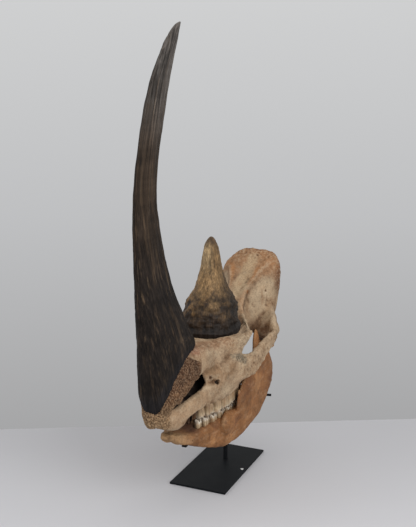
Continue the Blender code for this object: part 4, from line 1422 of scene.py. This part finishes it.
class SKULL_OT_front_horn(bpy.types.Operator):
    """Builds the long flattened front horn with its grooves and fibres"""

    bl_idname = "skull.front_horn"
    bl_label = "Front horn"

    def execute(self, context):
        around, count = FRONT_GRID[1]
        rings, fibre, lift = front_horn_points(around, count)
        mesh = grid_mesh("front_horn_surface", rings)
        colour_front_horn(mesh, fibre, lift, shades())
        keratin = horn_material("dark_streaked_horn", 0.5, 0.85, 0.12)
        fibres = strands_mesh("front_horn_fibres", rings, fibre, sizes().strand_count,
                              rings_between(count, 0.03, 0.8), rings_between(count, 0.08, 0.3),
                              sizes().strand_radius, 0.0016, 23, keratin)
        p = to_skull(read_points(fibres))
        height = p[:, 2]
        streaks = ramp(rough(p * np.array((1, 1, 0.05)), 9, 2, 321), -0.1, 0.8)
        finish_horn("front_horn", keratin, mesh, fibres, layered(
            np.asarray(shades().dark_horn) * 1.3,
            ((0.05, 0.037, 0.027), ramp(height, 380, 650)),
            ((0.10, 0.089, 0.08), ramp(height, 640, 900)),
            ((0.085, 0.058, 0.036), streaks * 0.7)))
        return {"FINISHED"}


class SKULL_OT_rear_horn(bpy.types.Operator):
    """Builds the short lumpy rear horn with its lip and fibres"""

    bl_idname = "skull.rear_horn"
    bl_label = "Rear horn"

    def execute(self, context):
        around, count = REAR_GRID[1]
        rings, fibre, lift, length = rear_horn_points(around, count)
        mesh = grid_mesh("rear_horn_surface", rings)
        colour_rear_horn(mesh, fibre, lift, length, shades())
        keratin = horn_material("lumpy_brown_horn", 0.38, 0.75, 0.22)
        fibres = strands_mesh("rear_horn_fibres", rings, fibre, sizes().strand_count // 3,
                              rings_between(count, 0.42, 0.72), rings_between(count, 0.12, 0.3),
                              sizes().strand_radius, 0.0012, 29, keratin)
        darker = ramp(rough(to_skull(read_points(fibres)), 14, 2, 331), 0.0, 0.8)
        finish_horn("rear_horn", keratin, mesh, fibres, layered(
            np.asarray(shades().rear_pale_horn) * 0.8, ((0.09, 0.06, 0.034), darker)))
        return {"FINISHED"}


class SKULL_OT_stand(bpy.types.Operator):
    """Paints the stand's solids satin black and lays the small pale spot on the plate"""

    bl_idname = "skull.stand"
    bl_label = "Stand"

    def execute(self, context):
        paint = metal_material()
        for name in ("base_plate", "post", "saddle", "front_arm", "palate_prong", "jaw_clip_left",
                     "jaw_clip_right"):
            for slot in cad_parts[name].material_slots:
                slot.material = paint
        plate_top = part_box("base_plate")[1][2]
        bm = bmesh.new()
        bmesh.ops.create_circle(bm, cap_ends=True, segments=28, radius=1.0)
        size = sizes().spot_size
        for vert in bm.verts:
            angle = math.atan2(vert.co.y, vert.co.x)
            wobble = 1 + 0.12 * math.sin(angle * 3 + 1.0) + 0.08 * math.sin(angle * 7)
            vert.co = Vector((vert.co.x * size * 0.36 * wobble, vert.co.y * size * 0.5 * wobble, 0))
        place = Matrix.Translation((*SPOT_PLACE, plate_top + SPOT_GAP)) @ Matrix.Rotation(SPOT_TURN, 4, "Z")
        bmesh.ops.transform(bm, verts=bm.verts, matrix=place)
        lifted = bmesh.ops.extrude_face_region(bm, geom=bm.faces[:])
        for item in lifted["geom"]:
            if isinstance(item, bmesh.types.BMVert):
                item.co.z += SPOT_THICKNESS
        bmesh.ops.recalc_face_normals(bm, faces=bm.faces)
        mesh = bpy.data.meshes.new("pale_spot_on_plate")
        bm.to_mesh(mesh)
        bm.free()
        chalk = plain_noise_material("chalk_spot", (0.55, 0.55, 0.54), (0.8, 0.8, 0.79), 400, 0.7)
        finish_piece(new_object("pale_spot_on_plate", mesh, chalk), [])
        return {"FINISHED"}


def set_camera(scene, look):
    data = bpy.data.cameras.new("photo_camera")
    data.lens = CAMERA_LENS
    data.sensor_width = SENSOR_WIDTH
    data.dof.use_dof = False
    camera = linked("photo_camera", data)
    camera.location = CAMERA_PLACE
    camera.rotation_euler = look.to_track_quat("-Z", "Y").to_euler()
    scene.camera = camera


def lay_floor(look):
    """A sheet of floor seen from the camera, with its far edge behind the stand."""
    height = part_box("base_plate")[0][2] - FLOOR_GAP
    ahead = Vector((look.x, look.y, 0)).normalized()
    across = Vector((ahead.y, -ahead.x, 0))
    eye = Vector((CAMERA_PLACE[0], CAMERA_PLACE[1], 0))
    corners = [eye + ahead * forward + across * sideways for sideways, forward in FLOOR_CORNERS]
    mesh = bpy.data.meshes.new("pale_floor")
    mesh.from_pydata([(c.x, c.y, height) for c in corners], [], [(0, 3, 2, 1)])
    new_object("pale_floor", mesh, floor_material(eye, ahead))


def set_world(scene):
    """A soft pale room, a little darker below."""
    world = bpy.data.worlds.new("soft_room")
    world.use_nodes = True
    tree = world.node_tree
    place = add_node(tree, "ShaderNodeTexCoord").outputs["Generated"]
    split = add_node(tree, "ShaderNodeSeparateXYZ", {0: place})
    spread = add_node(tree, "ShaderNodeMapRange",
                      {"From Min": -0.40, "From Max": 0.10, "Value": split.outputs["Z"]})
    shade = ramp_node(tree, spread.outputs["Result"],
                      ((0.0, (0.365, 0.365, 0.37)), (0.5, (0.52, 0.525, 0.535)), (1.0, (0.63, 0.635, 0.64))))
    background = tree.nodes["Background"]
    tree.links.new(shade, background.inputs["Color"])
    background.inputs["Strength"].default_value = 1.0
    scene.world = world


class SKULL_OT_stage(bpy.types.Operator):
    """Lays the plain pale floor and sets the soft lights and the camera"""

    bl_idname = "skull.stage"
    bl_label = "Floor, lights and camera"

    def execute(self, context):
        scene = context.scene
        look = Vector((-math.sin(CAMERA_TURN) * math.cos(CAMERA_DOWN),
                       math.cos(CAMERA_TURN) * math.cos(CAMERA_DOWN), -math.sin(CAMERA_DOWN)))
        set_camera(scene, look)
        lay_floor(look)
        set_world(scene)
        for name, place, aim, power, size in SOFT_LIGHTS:
            data = bpy.data.lights.new(name, "AREA")
            data.energy = power
            data.size = size
            light = linked(name, data)
            light.location = place
            light.rotation_euler = (Vector(aim) - Vector(place)).to_track_quat("-Z", "Y").to_euler()
        scene.view_settings.view_transform = "Standard"
        scene.view_settings.look = "None"
        return {"FINISHED"}


OPERATORS = (SKULL_OT_cranium, SKULL_OT_mandible, SKULL_OT_teeth, SKULL_OT_front_horn, SKULL_OT_rear_horn,
             SKULL_OT_stand, SKULL_OT_stage)


class SKULL_PT_panel(bpy.types.Panel):
    """Lists the skull's pieces"""

    bl_idname = "SKULL_PT_panel"
    bl_label = "Mounted skull"
    bl_space_type = "VIEW_3D"
    bl_region_type = "UI"
    bl_category = "Skull"

    def draw(self, context):
        for group in (context.scene.skull_sizes, context.scene.skull_colours):
            for key in group.bl_rna.properties.keys():
                if key not in ("rna_type", "name"):
                    self.layout.prop(group, key)
        for operator in OPERATORS:
            self.layout.operator(operator.bl_idname)


CLASSES = (SkullSizes, SkullColours, *OPERATORS, SKULL_PT_panel)


def register():
    for cls in CLASSES:
        bpy.utils.register_class(cls)
    bpy.types.Scene.skull_sizes = PointerProperty(type=SkullSizes)
    bpy.types.Scene.skull_colours = PointerProperty(type=SkullColours)


def unregister():
    del bpy.types.Scene.skull_colours
    del bpy.types.Scene.skull_sizes
    for cls in reversed(CLASSES):
        bpy.utils.unregister_class(cls)


def main():
    register()
    bpy.ops.skull.cranium()
    bpy.ops.skull.mandible()
    bpy.ops.skull.teeth()
    bpy.ops.skull.front_horn()
    bpy.ops.skull.rear_horn()
    bpy.ops.skull.stand()
    bpy.ops.skull.stage()


if __name__ == "__main__":
    main()
